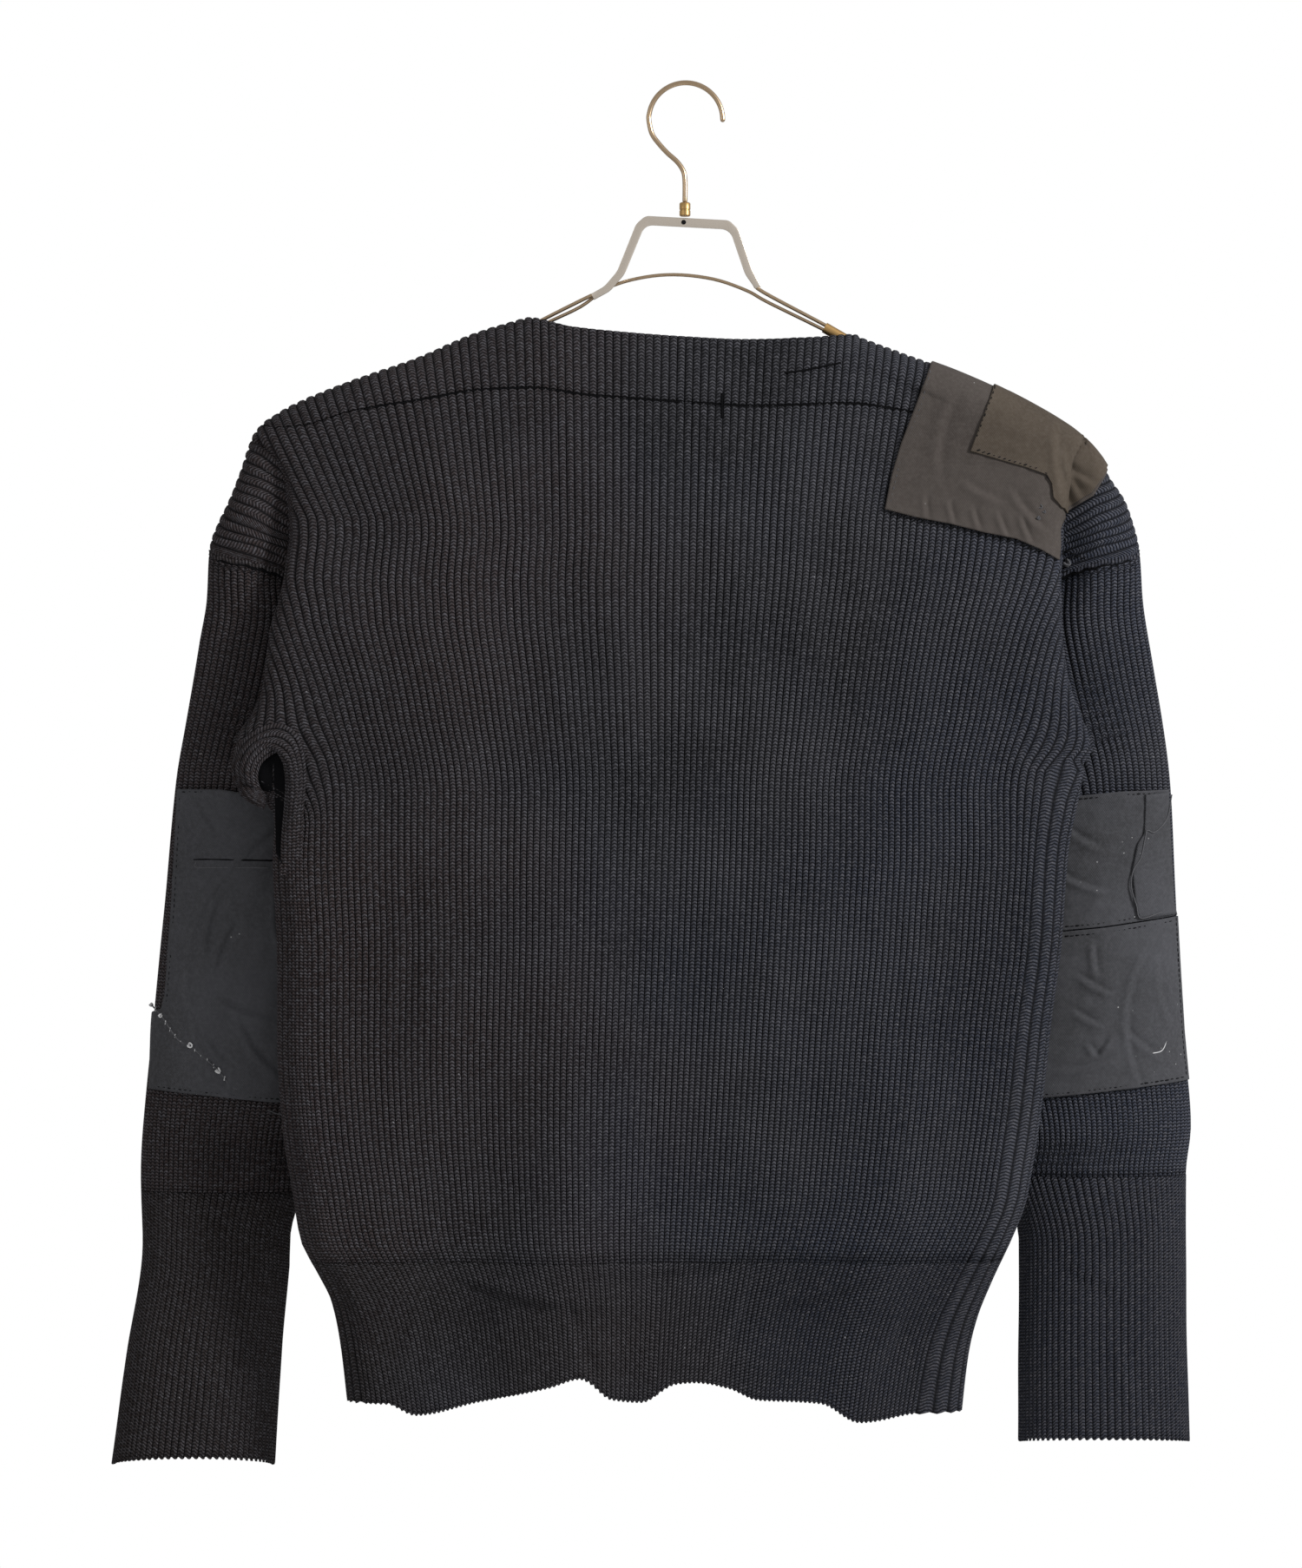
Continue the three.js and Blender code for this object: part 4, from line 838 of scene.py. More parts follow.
def ribs_by_length(points, values, height):
    """Rib count from the outer edge by the cloth's own length, so the ribs keep their pitch."""
    steps = np.linalg.norm(np.diff(points[..., :2], axis=1), axis=2)
    length = np.concatenate([np.zeros((len(points), 1)), np.cumsum(steps, axis=1)], axis=1)
    outer = int(np.argmin(np.abs(values)))
    pitch = mix(4.3, 3.2, np.clip((-300 - height) / 420, 0, 1))
    return (length - length[:, outer:outer + 1]) / pitch


for side in SIGN:
    values = -SIGN[side] * rib_columns(-SLEEVE_RIBS + 0.05, SLEEVE_RIBS - 0.05, 9)
    share = np.concatenate([np.linspace(0, 0.09, 10), np.linspace(0.1, 1, 50)])[:, None]
    height = mix(sleeve_top(values)[None, :] + 1.2, CUFF_TOP[side] + 0.15, share)
    own = np.broadcast_to(values[None, :], height.shape)
    tube = sleeve_point(side, own, height)
    knit_sheet(side + "_arm", tube, ribs_by_length(tube, values, height), KNIT, "knit",
               [side + "_sleeve"], -1)
    wave = 7 if side == "left" else 4
    ends = CUFF_END[side] + wave * np.sin(np.abs(values) / SLEEVE_RIBS * math.pi)
    ends = ends + 0.8 * np.sin(2 * math.pi * values)
    height = mix(CUFF_TOP[side] - 0.15, ends[None, :], np.linspace(0, 1, 26)[:, None])
    own = np.broadcast_to(values[None, :], height.shape)
    knit_sheet(side + "_wrist", sleeve_point(side, own, height), own, BAND, "band",
               [side + "_cuff"], -1)


# ---- tubes for wire, stitches and threads ----
def sweep(points, radius, sides):
    """Points and faces of a round tube with closed ends along a line of points."""
    line = np.asarray(points, float)
    tangent = np.gradient(line, axis=0)
    tangent /= np.maximum(np.linalg.norm(tangent, axis=1, keepdims=True), 1e-9)
    helper = np.array([0.0, 1.0, 0.0])
    if abs(tangent[:, 1]).max() > 0.9:
        helper = np.array([0.31, 0.22, 0.93])
    side = np.cross(tangent, helper)
    side /= np.maximum(np.linalg.norm(side, axis=1, keepdims=True), 1e-9)
    other = np.cross(tangent, side)
    turn = np.arange(sides) / sides * 2 * math.pi
    radii = np.broadcast_to(np.asarray(radius, float), (len(line),))[:, None, None]
    ring = (np.cos(turn)[None, :, None] * side[:, None] + np.sin(turn)[None, :, None] * other[:, None])
    points = (line[:, None] + ring * radii).reshape(-1, 3)
    faces = []
    for j in range(len(line) - 1):
        for i in range(sides):
            k = (i + 1) % sides
            faces.append((j * sides + i, (j + 1) * sides + i, (j + 1) * sides + k, j * sides + k))
    last = (len(line) - 1) * sides
    faces.append(tuple(range(sides)))
    faces.append(tuple(last + i for i in reversed(range(sides))))
    return points, faces


def many(parts):
    """Several (points, faces) as one."""
    points, faces, start = [], [], 0
    for some, theirs in parts:
        points.append(some)
        faces += [tuple(v + start for v in face) for face in theirs]
        start += len(some)
    return np.concatenate(points), faces


def smooth_line(points, steps=12):
    """A smooth line through points."""
    p = np.asarray(points, float)
    p = np.concatenate([[2 * p[0] - p[1]], p, [2 * p[-1] - p[-2]]])
    rows = []
    for i in range(1, len(p) - 2):
        for u in np.arange(steps) / steps:
            a, b, c, d = p[i - 1:i + 3]
            rows.append(0.5 * (2 * b + (c - a) * u + (2 * a - 5 * b + 4 * c - d) * u * u
                               + (3 * b - a - 3 * c + d) * u ** 3))
    rows.append(p[-2])
    return np.array(rows)


def resample(line, count):
    """Points evenly spaced along a line of pairs."""
    line = np.asarray(line, float)
    steps = np.hypot(*np.diff(line, axis=0).T)
    lengths = np.concatenate([[0], np.cumsum(steps)])
    at = np.linspace(0, lengths[-1], count)
    return np.stack([np.interp(at, lengths, line[:, k]) for k in (0, 1)], -1)


# ---- the left underarm, where the knit curls round into the armhole ----
CURL_OUTER = [(264, -458), (277, -449), (283.5, -435), (279.5, -420), (268.5, -410), (256, -405.5),
              (246, -409), (240.5, -419), (238, -436), (239.5, -460), (241, -500)]
CURL_INNER = [(262.5, -451), (267, -444), (268, -437), (265.5, -429.5), (260, -424.5), (254.5, -422),
              (251.5, -425), (250, -432), (249, -444), (250.5, -464), (253.5, -500)]
CURL_RIBS = 5
CURL_ROWS = 90
HOLLOW_ROWS = 54
HOLLOW_COLUMNS = 8
SEAM_STEPS = 40


def surface_depth(flat):
    """How far behind the garment's middle plane its left back lies at (out, height)."""
    height = flat[..., 1]
    out = np.minimum(flat[..., 0], fold_at("left", height) - 0.6)
    first = np.maximum(along(RIBS_AT_FOLD["left"], height), 0.3)
    low = np.where(height > UNDERARM, first, 1.6)
    high = np.full(out.shape, 30.0)
    for _ in range(18):
        rib = (low + high) / 2
        beyond = -back_point("left", rib, height)[..., 0] > out
        low, high = np.where(beyond, rib, low), np.where(beyond, high, rib)
    return -back_point("left", rib, height)[..., 1]


def underarm_curl():
    """The knit's edge, rolled over from the fold down into the armhole."""
    row = np.linspace(0, 1, CURL_ROWS)[:, None]
    over = np.linspace(0, 1, CURL_RIBS * 8 + 1)[None, :]
    outer, inner = (resample(smooth_line(table), CURL_ROWS) for table in (CURL_OUTER, CURL_INNER))
    flat = mix(outer[:, None], inner[:, None], over[..., None])
    fade = ease((1 - row) / 0.22) * ease((row + 0.02) / 0.1)
    roll = np.sin(math.pi * np.clip(over * 0.9 + 0.06, 0, 1)) ** 0.7
    proud = surface_depth(flat) + fade * (2.0 + 5.5 * roll)
    proud = proud - 1.5 * (1 - fade)
    curl = np.stack([-flat[..., 0], -proud, flat[..., 1]], -1)
    facing = -1 if grid_normals(curl)[45, 10, 1] > 0 else 1
    knit_sheet("underarm_curl", curl, np.broadcast_to(over * CURL_RIBS + 0.5, flat.shape[:2]),
               KNIT, "knit", [], facing)


def underarm_shade_sheet():
    """A near-black sheet inside the curl: painted shade where the curl turns in."""
    inner = resample(smooth_line(CURL_INNER), 60)[2:2 + HOLLOW_ROWS]
    middle = np.stack([mix(258.5, 256, np.linspace(0, 1, HOLLOW_ROWS)),
                       np.clip(inner[:, 1], -486, -430)], -1)
    reach = np.linspace(-0.15, 1, HOLLOW_COLUMNS)[None, :, None]
    flat = mix(inner[:, None], middle[:, None], reach)
    painted_shade_and_black_thread = np.stack([-flat[..., 0], -surface_depth(flat) - 1.4, flat[..., 1]], -1)
    flip = grid_normals(painted_shade_and_black_thread)[20, 3, 1] > 0
    add_mesh("underarm_shade_sheet", painted_shade_and_black_thread.reshape(-1, 3),
             grid_faces(HOLLOW_ROWS, HOLLOW_COLUMNS, flip), SHADE_AND_BLACK_THREAD, "knit")


def seam_roll(side):
    """The rolled edge of the armhole seam, across the back of the sleeve's top, and its shade."""
    name = side + "_armhole_seam"
    step = np.arange(SEAM_STEPS)
    heights = np.linspace(ARM_TOP - 0.4, ARM_FOLD, SEAM_STEPS)
    line = back_point(side, np.full(SEAM_STEPS, 0.02), heights) + (0, -0.7, -0.4)
    line[:, 2] += 0.5 * np.sin(step * 1.1)
    points, faces = sweep(line, 1.3 + 0.25 * np.sin(step * 1.7), 8)
    uv = np.stack([points[:, 0] * 0 + 0.5, points[:, 0] / COURSE], -1)
    add_mesh(name, points, faces, BAND, "knit", uv=uv)
    points, faces = sweep(line + (0, 0.3, -2.1), 0.75, 6)
    add_mesh(name + "_shade", points, faces, SHADE_AND_BLACK_THREAD, "knit")


underarm_curl()
underarm_shade_sheet()
for side in SIGN:
    seam_roll(side)


# ---- woven patches: a net of points between four edges, laid on the knit and lifted ----

def net(top, bottom, left, right, across, down):
    """Coons net of (out, height) pairs; the edges run left to right and top to bottom."""
    t, b = resample(top, across), resample(bottom, across)
    lf, r = resample(left, down), resample(right, down)
    u = np.linspace(0, 1, across)[None, :, None]
    v = np.linspace(0, 1, down)[:, None, None]
    ruled = mix(t[None], b[None], v) + mix(lf[:, None], r[:, None], u)
    corners = mix(mix(t[0], t[-1], u), mix(b[0], b[-1], u), v)
    return ruled - corners


def raised(point_of, side, flat, ribs, lift, facing, reach):
    """Points of the garment at (out, height) pairs, moved out of its face.
    The ribs are those to look between, and reach is the height the face is measured over."""
    out, height = flat[..., 0], flat[..., 1]
    rib = find_rib(point_of, side, out, height, *ribs)
    points = point_of(side, rib, height)
    across = point_of(side, rib + 0.7, height) - point_of(side, rib - 0.7, height)
    down = point_of(side, rib, height - reach) - point_of(side, rib, height + reach)
    normal = np.cross(across, down)
    normal /= np.maximum(np.linalg.norm(normal, axis=2, keepdims=True), 1e-9)
    normal *= np.sign(normal[..., 1:2] * facing + 1e-9)
    return points + normal * lift


def folded(points, lines):
    """Crisp small folds along lines (x, z, x, z, depth, width) of worn woven cloth."""
    x, z = points[..., 0], points[..., 2]
    total = np.zeros(x.shape)
    for x0, z0, x1, z1, depth, width in lines:
        length = math.hypot(x1 - x0, z1 - z0)
        ux, uz = (x1 - x0) / length, (z1 - z0) / length
        run = (x - x0) * ux + (z - z0) * uz - length / 2
        off = ((x - x0) * uz - (z - z0) * ux + 0.006 * run * run) / width
        total = total + 1.6 * depth * off * np.exp(-off * off - (run / (0.55 * length)) ** 4)
    points = points.copy()
    points[..., 1] -= total
    return points


# from x, z to x, z, then depth and width
CLOTH_FOLDS = [
    (-297, -514, -306, -549, 1.5, 3.0), (-287, -531, -299, -557, 1.4, 2.6),
    (-299, -580, -262, -594, 1.5, 2.8), (-314, -490, -322, -636, 1.0, 2.6),
    (-258, -470, -276, -482, 1.2, 3.0), (-262, -505, -256, -560, 1.3, 3.2),
    (-283, -600, -256, -632, 1.3, 3.0), (-305, -604, -290, -622, 1.1, 2.6),
    (-252, -452, -254, -474, 1.2, 2.4), (-244, -452, -247, -470, 1.2, 2.4),
    (-310, -455, -300, -472, 0.9, 3.0), (-292, -638, -288, -622, 1.0, 2.4),
    (259, -545, 261, -563, 1.4, 2.6), (251, -566, 270, -576, 1.5, 2.6),
    (248, -588, 263, -596, 1.4, 2.6), (256, -608, 262, -616, 1.3, 2.4),
    (262, -616, 270, -604, 1.3, 2.4), (287, -537, 276, -632, 1.2, 3.0),
    (240, -470, 262, -484, 1.1, 3.0), (236, -500, 266, -512, 1.2, 3.0),
    (240, -525, 262, -518, 1.0, 2.6), (300, -560, 308, -596, 1.0, 3.0),
    (280, -600, 300, -616, 1.1, 2.8), (246, -626, 272, -618, 1.1, 2.6),
    (229, -222, 240, -274, 1.7, 4.0), (236, -232, 247, -262, 1.3, 3.4),
    (205, -262, 224, -284, 1.2, 3.2), (196, -274, 201, -287, 1.2, 2.2),
    (180, -270, 184, -283, 1.1, 2.2), (165, -266, 168, -279, 1.1, 2.2),
    (150, -262, 151, -275, 1.0, 2.2), (210, -276, 216, -291, 1.2, 2.2),
    (164, -200, 156, -250, 0.8, 4.0), (175, -255, 200, -268, 0.9, 3.4),
    (240, -244, 256, -254, 1.2, 3.0),
]


def patch(name, points, mat, slot, stands_for, outward):
    points = folded(points, CLOTH_FOLDS)
    rows, columns = points.shape[:2]
    faces = grid_faces(rows, columns, outward < 0)
    thicken(add_mesh(name, points.reshape(-1, 3), faces, mat, slot, stands_for), WOVEN_WALL)


def crinkle(points, strength, seed):
    """Small soft creases in worn cloth."""
    x, z = points[..., 0], points[..., 2]
    wave = (np.sin(x / 9.1 + seed + 1.3 * np.sin(z / 13.0 + seed))
            * np.sin(z / 11.7 - seed + 1.1 * np.sin(x / 15.0)))
    fine = 0.35 * np.sin(x / 3.7 + z / 4.9 + seed) * np.sin(z / 3.1 - x / 6.3)
    points = points.copy()
    points[..., 1] -= strength * (0.5 + 0.5 * wave + fine)
    return points


PATCH_LIFT = 2.35
OVERLAY_LIFT = 3.75
FACE_REACH = 2.5


def contour(side, outs):
    """The shoulder line over a range of distances out, as (out, height)."""
    heights = np.linspace(ARM_TOP, EDGE[side][0][0] - 1, 300)
    line = edge_at(side, heights)
    order = np.argsort(line)
    return [(o, float(np.interp(o, line[order], heights[order])) - 0.05) for o in outs]


def shoulder_piece(name, mat, node, lift, back_edges, front_edges, tops, seed):
    """A patch folded over the right shoulder: its back and front nets share the shoulder line."""
    top = contour("right", np.linspace(tops[0], tops[1], 24))
    faces = []
    for point_of, facing, down, edges in ((back_point, -1, 90, back_edges),
                                          (front_point, 1, 60, front_edges)):
        left, bottom, right = edges
        flat = net(top, bottom, [top[0]] + left, [top[-1]] + right, 110, down)
        faces.append(raised(point_of, "right", flat, (0.1, 60), lift, facing, FACE_REACH))
    back_side, front_side = crinkle(faces[0], 0.5, seed), faces[1]
    slope = np.gradient(back_side[0], axis=0)
    up = np.stack([-slope[:, 2], 0 * slope[:, 0], slope[:, 0]], -1)
    up /= np.linalg.norm(up, axis=1, keepdims=True)
    crest = np.array([(o, 0, h) for o, h in resample(top, 110)]) + up * lift
    rows = np.concatenate([front_side[:0:-1], crest[None], back_side[1:]])
    patch(name, rows, mat, "twill", [node], -1)


MAIN_BACK = ([(154.6, -178.6), (145.2, -203.9), (135.3, -229.2), (129.3, -249), (124.9, -270.5)],
             [(124.9, -270.5), (143.6, -275.4), (166.1, -279.8), (187.6, -285.3), (207.4, -289.2),
              (222.2, -295.8), (233, -302)],
             [(256.9, -261.1), (243.1, -269.4), (236.5, -276), (233.8, -283), (234, -293), (233, -302)])
MAIN_FRONT = ([(152, -180), (146, -205), (141, -232)],
              [(141, -232), (168, -240), (200, -247), (226, -256), (240, -257), (252, -254)],
              [(262, -247), (252, -254)])
OVER_BACK = ([(194.2, -192.4), (187.6, -210.5), (178.8, -234.2)],
             [(178.8, -234.2), (200.8, -240.8), (214, -244.6), (226.1, -249), (228.8, -254.5),
              (229.4, -262.8), (233.5, -268.5), (237.5, -271.5)],
             [(255.8, -258.8), (244, -266.5), (237.5, -271.5)])
OVER_FRONT = ([(193, -195), (188, -222)],
              [(188, -222), (210, -228), (232, -236), (250, -241)],
              [(258, -240), (250, -241)])
shoulder_piece("shoulder_cloth", TWILL, "shoulder_patch", PATCH_LIFT, MAIN_BACK, MAIN_FRONT,
               (156, 265.5), 0.4)
shoulder_piece("shoulder_cloth_over", OVERLAY, "shoulder_overlay", OVERLAY_LIFT, OVER_BACK, OVER_FRONT,
               (197, 264.5), 2.1)


def elbow_piece(name, side, node, lift, top, bottom, left, right, seed, strength=0.6, size=(90, 120)):
    flat = net(top, bottom, left, right, *size)
    points = raised(sleeve_point, side, flat, (0.4, 35.6), lift, -1, FACE_REACH)
    points = crinkle(points, strength, seed)
    patch(name, points, ELBOW, "elbow_twill", [node], 1 if side == "left" else -1)


# distances out; each edge from top to bottom or from the body's side outwards
elbow_piece("left_elbow_cloth", "left", "left_elbow_patch", PATCH_LIFT,
            [(238, -450), (274.5, -449.2), (293.7, -445.6), (321.5, -445.6)],
            [(238, -645), (262.9, -645), (300, -641), (340.8, -637.5)],
            [(238, -450), (234.5, -560), (238, -645)],
            [(321.5, -445.6), (326.2, -518.5), (330.6, -577.4), (332.8, -586.2), (339.6, -589),
             (340.8, -637.5)], 1.0)
elbow_piece("right_elbow_cloth_top", "right", "right_elbow_upper", PATCH_LIFT,
            [(215, -450), (249.7, -449.8), (276.7, -447), (306.5, -446)],
            [(212, -537.5), (238.7, -535.8), (266.8, -533), (313, -526.2)],
            [(215, -450), (212, -537.5)],
            [(306.5, -446), (311, -518.5), (313, -526.2)], 3.0)
elbow_piece("right_elbow_cloth_low", "right", "right_elbow_lower", PATCH_LIFT,
            [(212, -538.6), (238.7, -536.6), (266.8, -533.8), (313.5, -527)],
            [(214, -643.5), (226.6, -642.3), (259, -639), (321, -632)],
            [(212, -538.6), (210, -600), (214, -643.5)],
            [(313.5, -527), (318, -600), (321, -632)], 5.0)
elbow_piece("right_elbow_cloth_over", "right", "right_elbow_overlay", OVERLAY_LIFT,
            [(291.5, -448.8), (305.5, -447.5)], [(288, -528.5), (310.6, -525.5)],
            [(291.5, -448.8), (291.5, -460), (291, -474), (287, -480), (283.5, -497), (285.5, -518),
             (288, -528.5)],
            [(305.5, -447.5), (310, -518.5), (310.6, -525.5)], 7.0, 0.3, (20, 40))


# ---- stitches, mended places and loose threads ----
RIB_LIMIT = {back_point: 62, sleeve_point: 35}
STITCH_REACH = 2.0


def on_garment(point_of, side, places, lift, high=None):
    """Points at (out, height) places on the garment's back, moved out of the knit."""
    flat = np.array(places, float)[None]
    ribs = (0.3, high or RIB_LIMIT[point_of])
    return raised(point_of, side, flat, ribs, lift, -1, STITCH_REACH)[0]


def thread(name, point_of, side, places, lift, mat, slot, radius=0.35, steps=8, high=None):
    """A thread lying on the cloth."""
    line = on_garment(point_of, side, smooth_line(places, steps), lift, high)
    add_mesh(name, *sweep(line, radius, 6), mat, slot)


def stitches(name, point_of, side, places, lift, mat, slot, spacing=3.2, length=2.4, radius=0.42,
             slant=0.0):
    """A run of separate stitches along a seam; slant turns each across the seam."""
    flat = smooth_line(places, 20)
    steps = np.hypot(*np.diff(flat, axis=0).T)
    lengths = np.concatenate([[0], np.cumsum(steps)])
    parts = []
    for start in np.arange(spacing / 2, lengths[-1] - length, spacing):
        ends = [[np.interp(start + s * length, lengths, flat[:, k]) for k in (0, 1)] for s in (0, 1)]
        a, b = np.array(ends[0]), np.array(ends[1])
        run = (b - a) / max(np.linalg.norm(b - a), 1e-6)
        across = np.array([-run[1], run[0]])
        jitter = 0.35 * math.sin(start * 2.7)
        a, b = a - across * (slant + jitter * 0.3), b + across * (slant - jitter * 0.3)
        line = on_garment(point_of, side, [a, (a + b) / 2, b], lift)
        line[[0, 2]] += (0, 0.5, 0)
        parts.append(sweep(smooth_line(line, 3), radius * (1 + 0.2 * math.sin(start)), 5))
    add_mesh(name, *many(parts), mat, slot)


def knot(centre, size, seed):
    """A tangled lump of thread: one line wound about a point."""
    turn = np.linspace(0, 5.2 * math.pi, 46)
    line = np.stack([np.cos(turn + seed) * np.cos(turn * 0.37 + seed),
                     0.6 * np.sin(turn * 0.53 + seed),
                     np.sin(turn + seed) * np.cos(turn * 0.29)], -1)
    return sweep(np.asarray(centre) + line * size, size * 0.3, 5)


# shoulder patch: rows of stitches along its edges and down the armhole
EDGE_LIFT = PATCH_LIFT + 0.75
stitches("shoulder_stitches", back_point, "right",
         [(154, -182), (148.5, -203.9), (138.5, -229.2), (132.6, -249), (128.2, -268)], EDGE_LIFT,
         GREY_THREAD, "twill", spacing=4.0, length=2.2, radius=0.3)
stitches("shoulder_foot_stitches", back_point, "right",
         [(128, -272.5), (146, -277.2), (168, -281.8), (189, -287.2), (208, -291), (224, -298)],
         EDGE_LIFT - 0.6, DARK_THREAD, "twill", spacing=4.6, length=3.2, radius=0.5, slant=1.4)
stitches("overlay_stitches", back_point, "right",
         [(197, -180), (194.6, -193), (188.2, -210.5), (180.2, -232)], OVERLAY_LIFT + 0.6,
         DARK_THREAD, "twill", spacing=3.4, length=2.2, radius=0.4)
stitches("overlay_foot_stitches", back_point, "right",
         [(181, -233), (201, -239.6), (214, -243.4), (225, -247.6), (227.4, -254)], OVERLAY_LIFT + 0.6,
         DARK_THREAD, "twill", spacing=3.4, length=2.4, radius=0.42, slant=0.8)

# yoke seam: one corded line, a real ridge coloured near-black as painted shade of the seam's groove
for name, low, high in (("yoke_seam_left", 2, 205), ("yoke_seam_right", 2, 152)):
    side = "left" if name.endswith("left") else "right"
    outs = np.arange(low, high, 4.0)
    run = [(o, float(by_width(YOKE_SEAM, SIGN[side] * o)) - 0.4) for o in outs]
    thread(name, back_point, side, run, 0.75, SHADE_AND_BLACK_THREAD, "knit", radius=0.7, steps=2, high=64)

# darned line and stitches in the yoke, just right of the neck
thread("yoke_darn", back_point, "right", [(63, -184.5), (74, -183), (86, -180.5), (98, -178)], 1.2,
       SHADE_AND_BLACK_THREAD, "knit", radius=0.7, high=64)
thread("yoke_tick", back_point, "right", [(23.5, -197), (23, -205), (23.4, -213)], 1.3, SHADE_AND_BLACK_THREAD,
       "knit", radius=0.6, high=64)

# elbows: left slit and darn, right stitched band and threads
ON_ELBOW = PATCH_LIFT + 0.75
# the slit's upper line is near-black: painted shade in the slit's opening
thread("left_slit_upper", sleeve_point, "left",
       [(311.5, -490.5), (300, -490.4), (280, -490.8), (262, -491.2)], ON_ELBOW - 0.2, SHADE_AND_BLACK_THREAD,
       "elbow_twill", radius=0.55)
thread("left_slit_lower", sleeve_point, "left",
       [(309.5, -491.5), (310.5, -495), (303, -495.6), (282, -495.6), (264, -495.8)], ON_ELBOW,
       GREY_THREAD, "elbow_twill", radius=0.4)
DARN_LINE = [(339, -584.5), (332.7, -590.6), (321.8, -605.5), (314, -609), (306.9, -615.4),
             (295.9, -624.8), (289.3, -633.6), (281.6, -638.5)]
thread("left_darn_line", sleeve_point, "left", DARN_LINE, ON_ELBOW - 0.2, GREY_THREAD, "elbow_twill",
       radius=0.5)
stitches("left_darn_stitches", sleeve_point, "left", DARN_LINE, ON_ELBOW, PALE_THREAD, "elbow_twill",
         spacing=5.2, length=2.0, radius=0.3, slant=1.0)
knots = [knot(on_garment(sleeve_point, "left", [place], ON_ELBOW + 0.6)[0], size, at)
         for at, (place, size) in enumerate((((314, -609), 1.7), ((295.9, -624.8), 1.9),
                                             ((339, -584.6), 1.2), ((332.7, -590.6), 1.2)))]
add_mesh("left_darn_knots", *many(knots), PALE_THREAD, "elbow_twill")
thread("left_loose_thread", sleeve_point, "left", [(265.6, -650), (259, -652.5), (254, -653.4)], 2.4,
       GREY_THREAD, "elbow_twill", radius=0.35)
stitches("left_elbow_top_stitches", sleeve_point, "left",
         [(320, -447.2), (293.7, -447.4), (274.5, -451), (255, -452)], ON_ELBOW - 0.2, DARK_THREAD,
         "elbow_twill", spacing=3.6, length=2.4, radius=0.4)
stitches("left_elbow_edge_stitches", sleeve_point, "left",
         [(319.6, -449), (324, -518.5), (328.6, -577), (330.6, -585)], ON_ELBOW - 0.2, DARK_THREAD,
         "elbow_twill", spacing=3.6, length=2.4, radius=0.34)
stitches("left_elbow_foot_stitches", sleeve_point, "left",
         [(337, -635.6), (300, -639), (264, -642.6), (247, -643)], ON_ELBOW - 0.2, DARK_THREAD,
         "elbow_twill", spacing=3.4, length=2.4, radius=0.4)
for name, run in (
        ("right_band_stitches_upper", [(240, -533.4), (266.8, -530.6), (300, -525.4), (311, -523.6)]),
        ("right_band_stitches_lower", [(240, -539.5), (266.8, -536.8), (300, -531.6), (311, -529.6)]),
        ("right_elbow_top_stitches", [(222, -451.6), (249.7, -451.6), (276.7, -449), (304, -448)]),
        ("right_elbow_edge_stitches",
         [(304.6, -449), (309, -518.5), (312, -530), (316, -600), (319, -630)]),
        ("right_elbow_foot_stitches", [(228, -640.2), (259, -637), (318, -630)])):
    stitches(name, sleeve_point, "right", run, ON_ELBOW, DARK_THREAD, "elbow_twill", spacing=3.3,
             length=2.3, radius=0.38)
thread("right_elbow_thread", sleeve_point, "right",
       [(306.9, -449), (304.7, -464), (297.6, -472.8), (292.6, -471.8), (291.5, -475.6),
        (288.8, -488.8), (283.8, -497.6), (282.7, -508), (286, -519.6), (288.8, -527.8),
        (302, -524)], OVERLAY_LIFT + 0.9, GREY_THREAD, "elbow_twill", radius=0.42)
thread("right_foot_thread", sleeve_point, "right",
       [(296, -614.3), (303, -612.5), (306.4, -605.5)], ON_ELBOW, PALE_THREAD, "elbow_twill",
       radius=0.3)

# armhole: a knot of thread and short repair stitches on the right
spot = on_garment(back_point, "right", [(242, -303.5)], 2.6)[0]
add_mesh("armhole_knot", *knot(spot, 2.4, 0.7), GREY_THREAD, "knit")
stitches("armhole_stitches", back_point, "right",
         [(231.5, -301.2), (239.2, -295), (247, -298), (254, -300)], 2.2, DARK_THREAD, "knit",
         spacing=3.4, length=2.6, radius=0.5, slant=0.8)
stitches("armhole_lower_stitches", back_point, "right",
         [(239, -317.3), (247.5, -310.7), (258, -307)], 1.8, DARK_THREAD, "knit", spacing=3.4,
         length=2.6, radius=0.45, slant=0.8)
fluff = [knot(on_garment(back_point, "right", [place], 2.4)[0], 1.3, at)
         for at, place in enumerate(((222, -269), (224.5, -272), (221, -276)))]
add_mesh("overlay_fluff", *many(fluff), GREY_THREAD, "twill")


# ---- hanger ----
HOOK_CENTRE = (0.5, -21.8)
HOOK_RADIUS = 23.4
HOOK_LINE = [(HOOK_CENTRE[0] + HOOK_RADIUS * math.cos(t), 0, HOOK_CENTRE[1] + HOOK_RADIUS * math.sin(t))
             for t in np.linspace(0, math.pi, 19)]
HOOK_LINE += [(-21, 0, -30.5), (-16.5, 0, -37), (-11, 0, -43), (-4.8, 0, -48.6), (-1, 0, -54.5),
              (0, 0, -61), (0, 0, -73.2)]
ARM_GAP = 3.4
LEFT_ARM = [(-54, 0, -131.2), (-62, 0, -134.4), (-88, 0, -147.4), (-106, 0, -157), (-130, 0, -167),
            (-172, 0, -181.6), (-205, 0, -196.5), (-231, 0, -209)]
RIGHT_ARM = [(43.5, 0, -125), (49.6, 0, -131), (90, 0, -152.6), (110, 0, -164.5), (134, 0, -175.6),
             (174, 0, -191), (214, 0, -209), (229, 0, -217)]
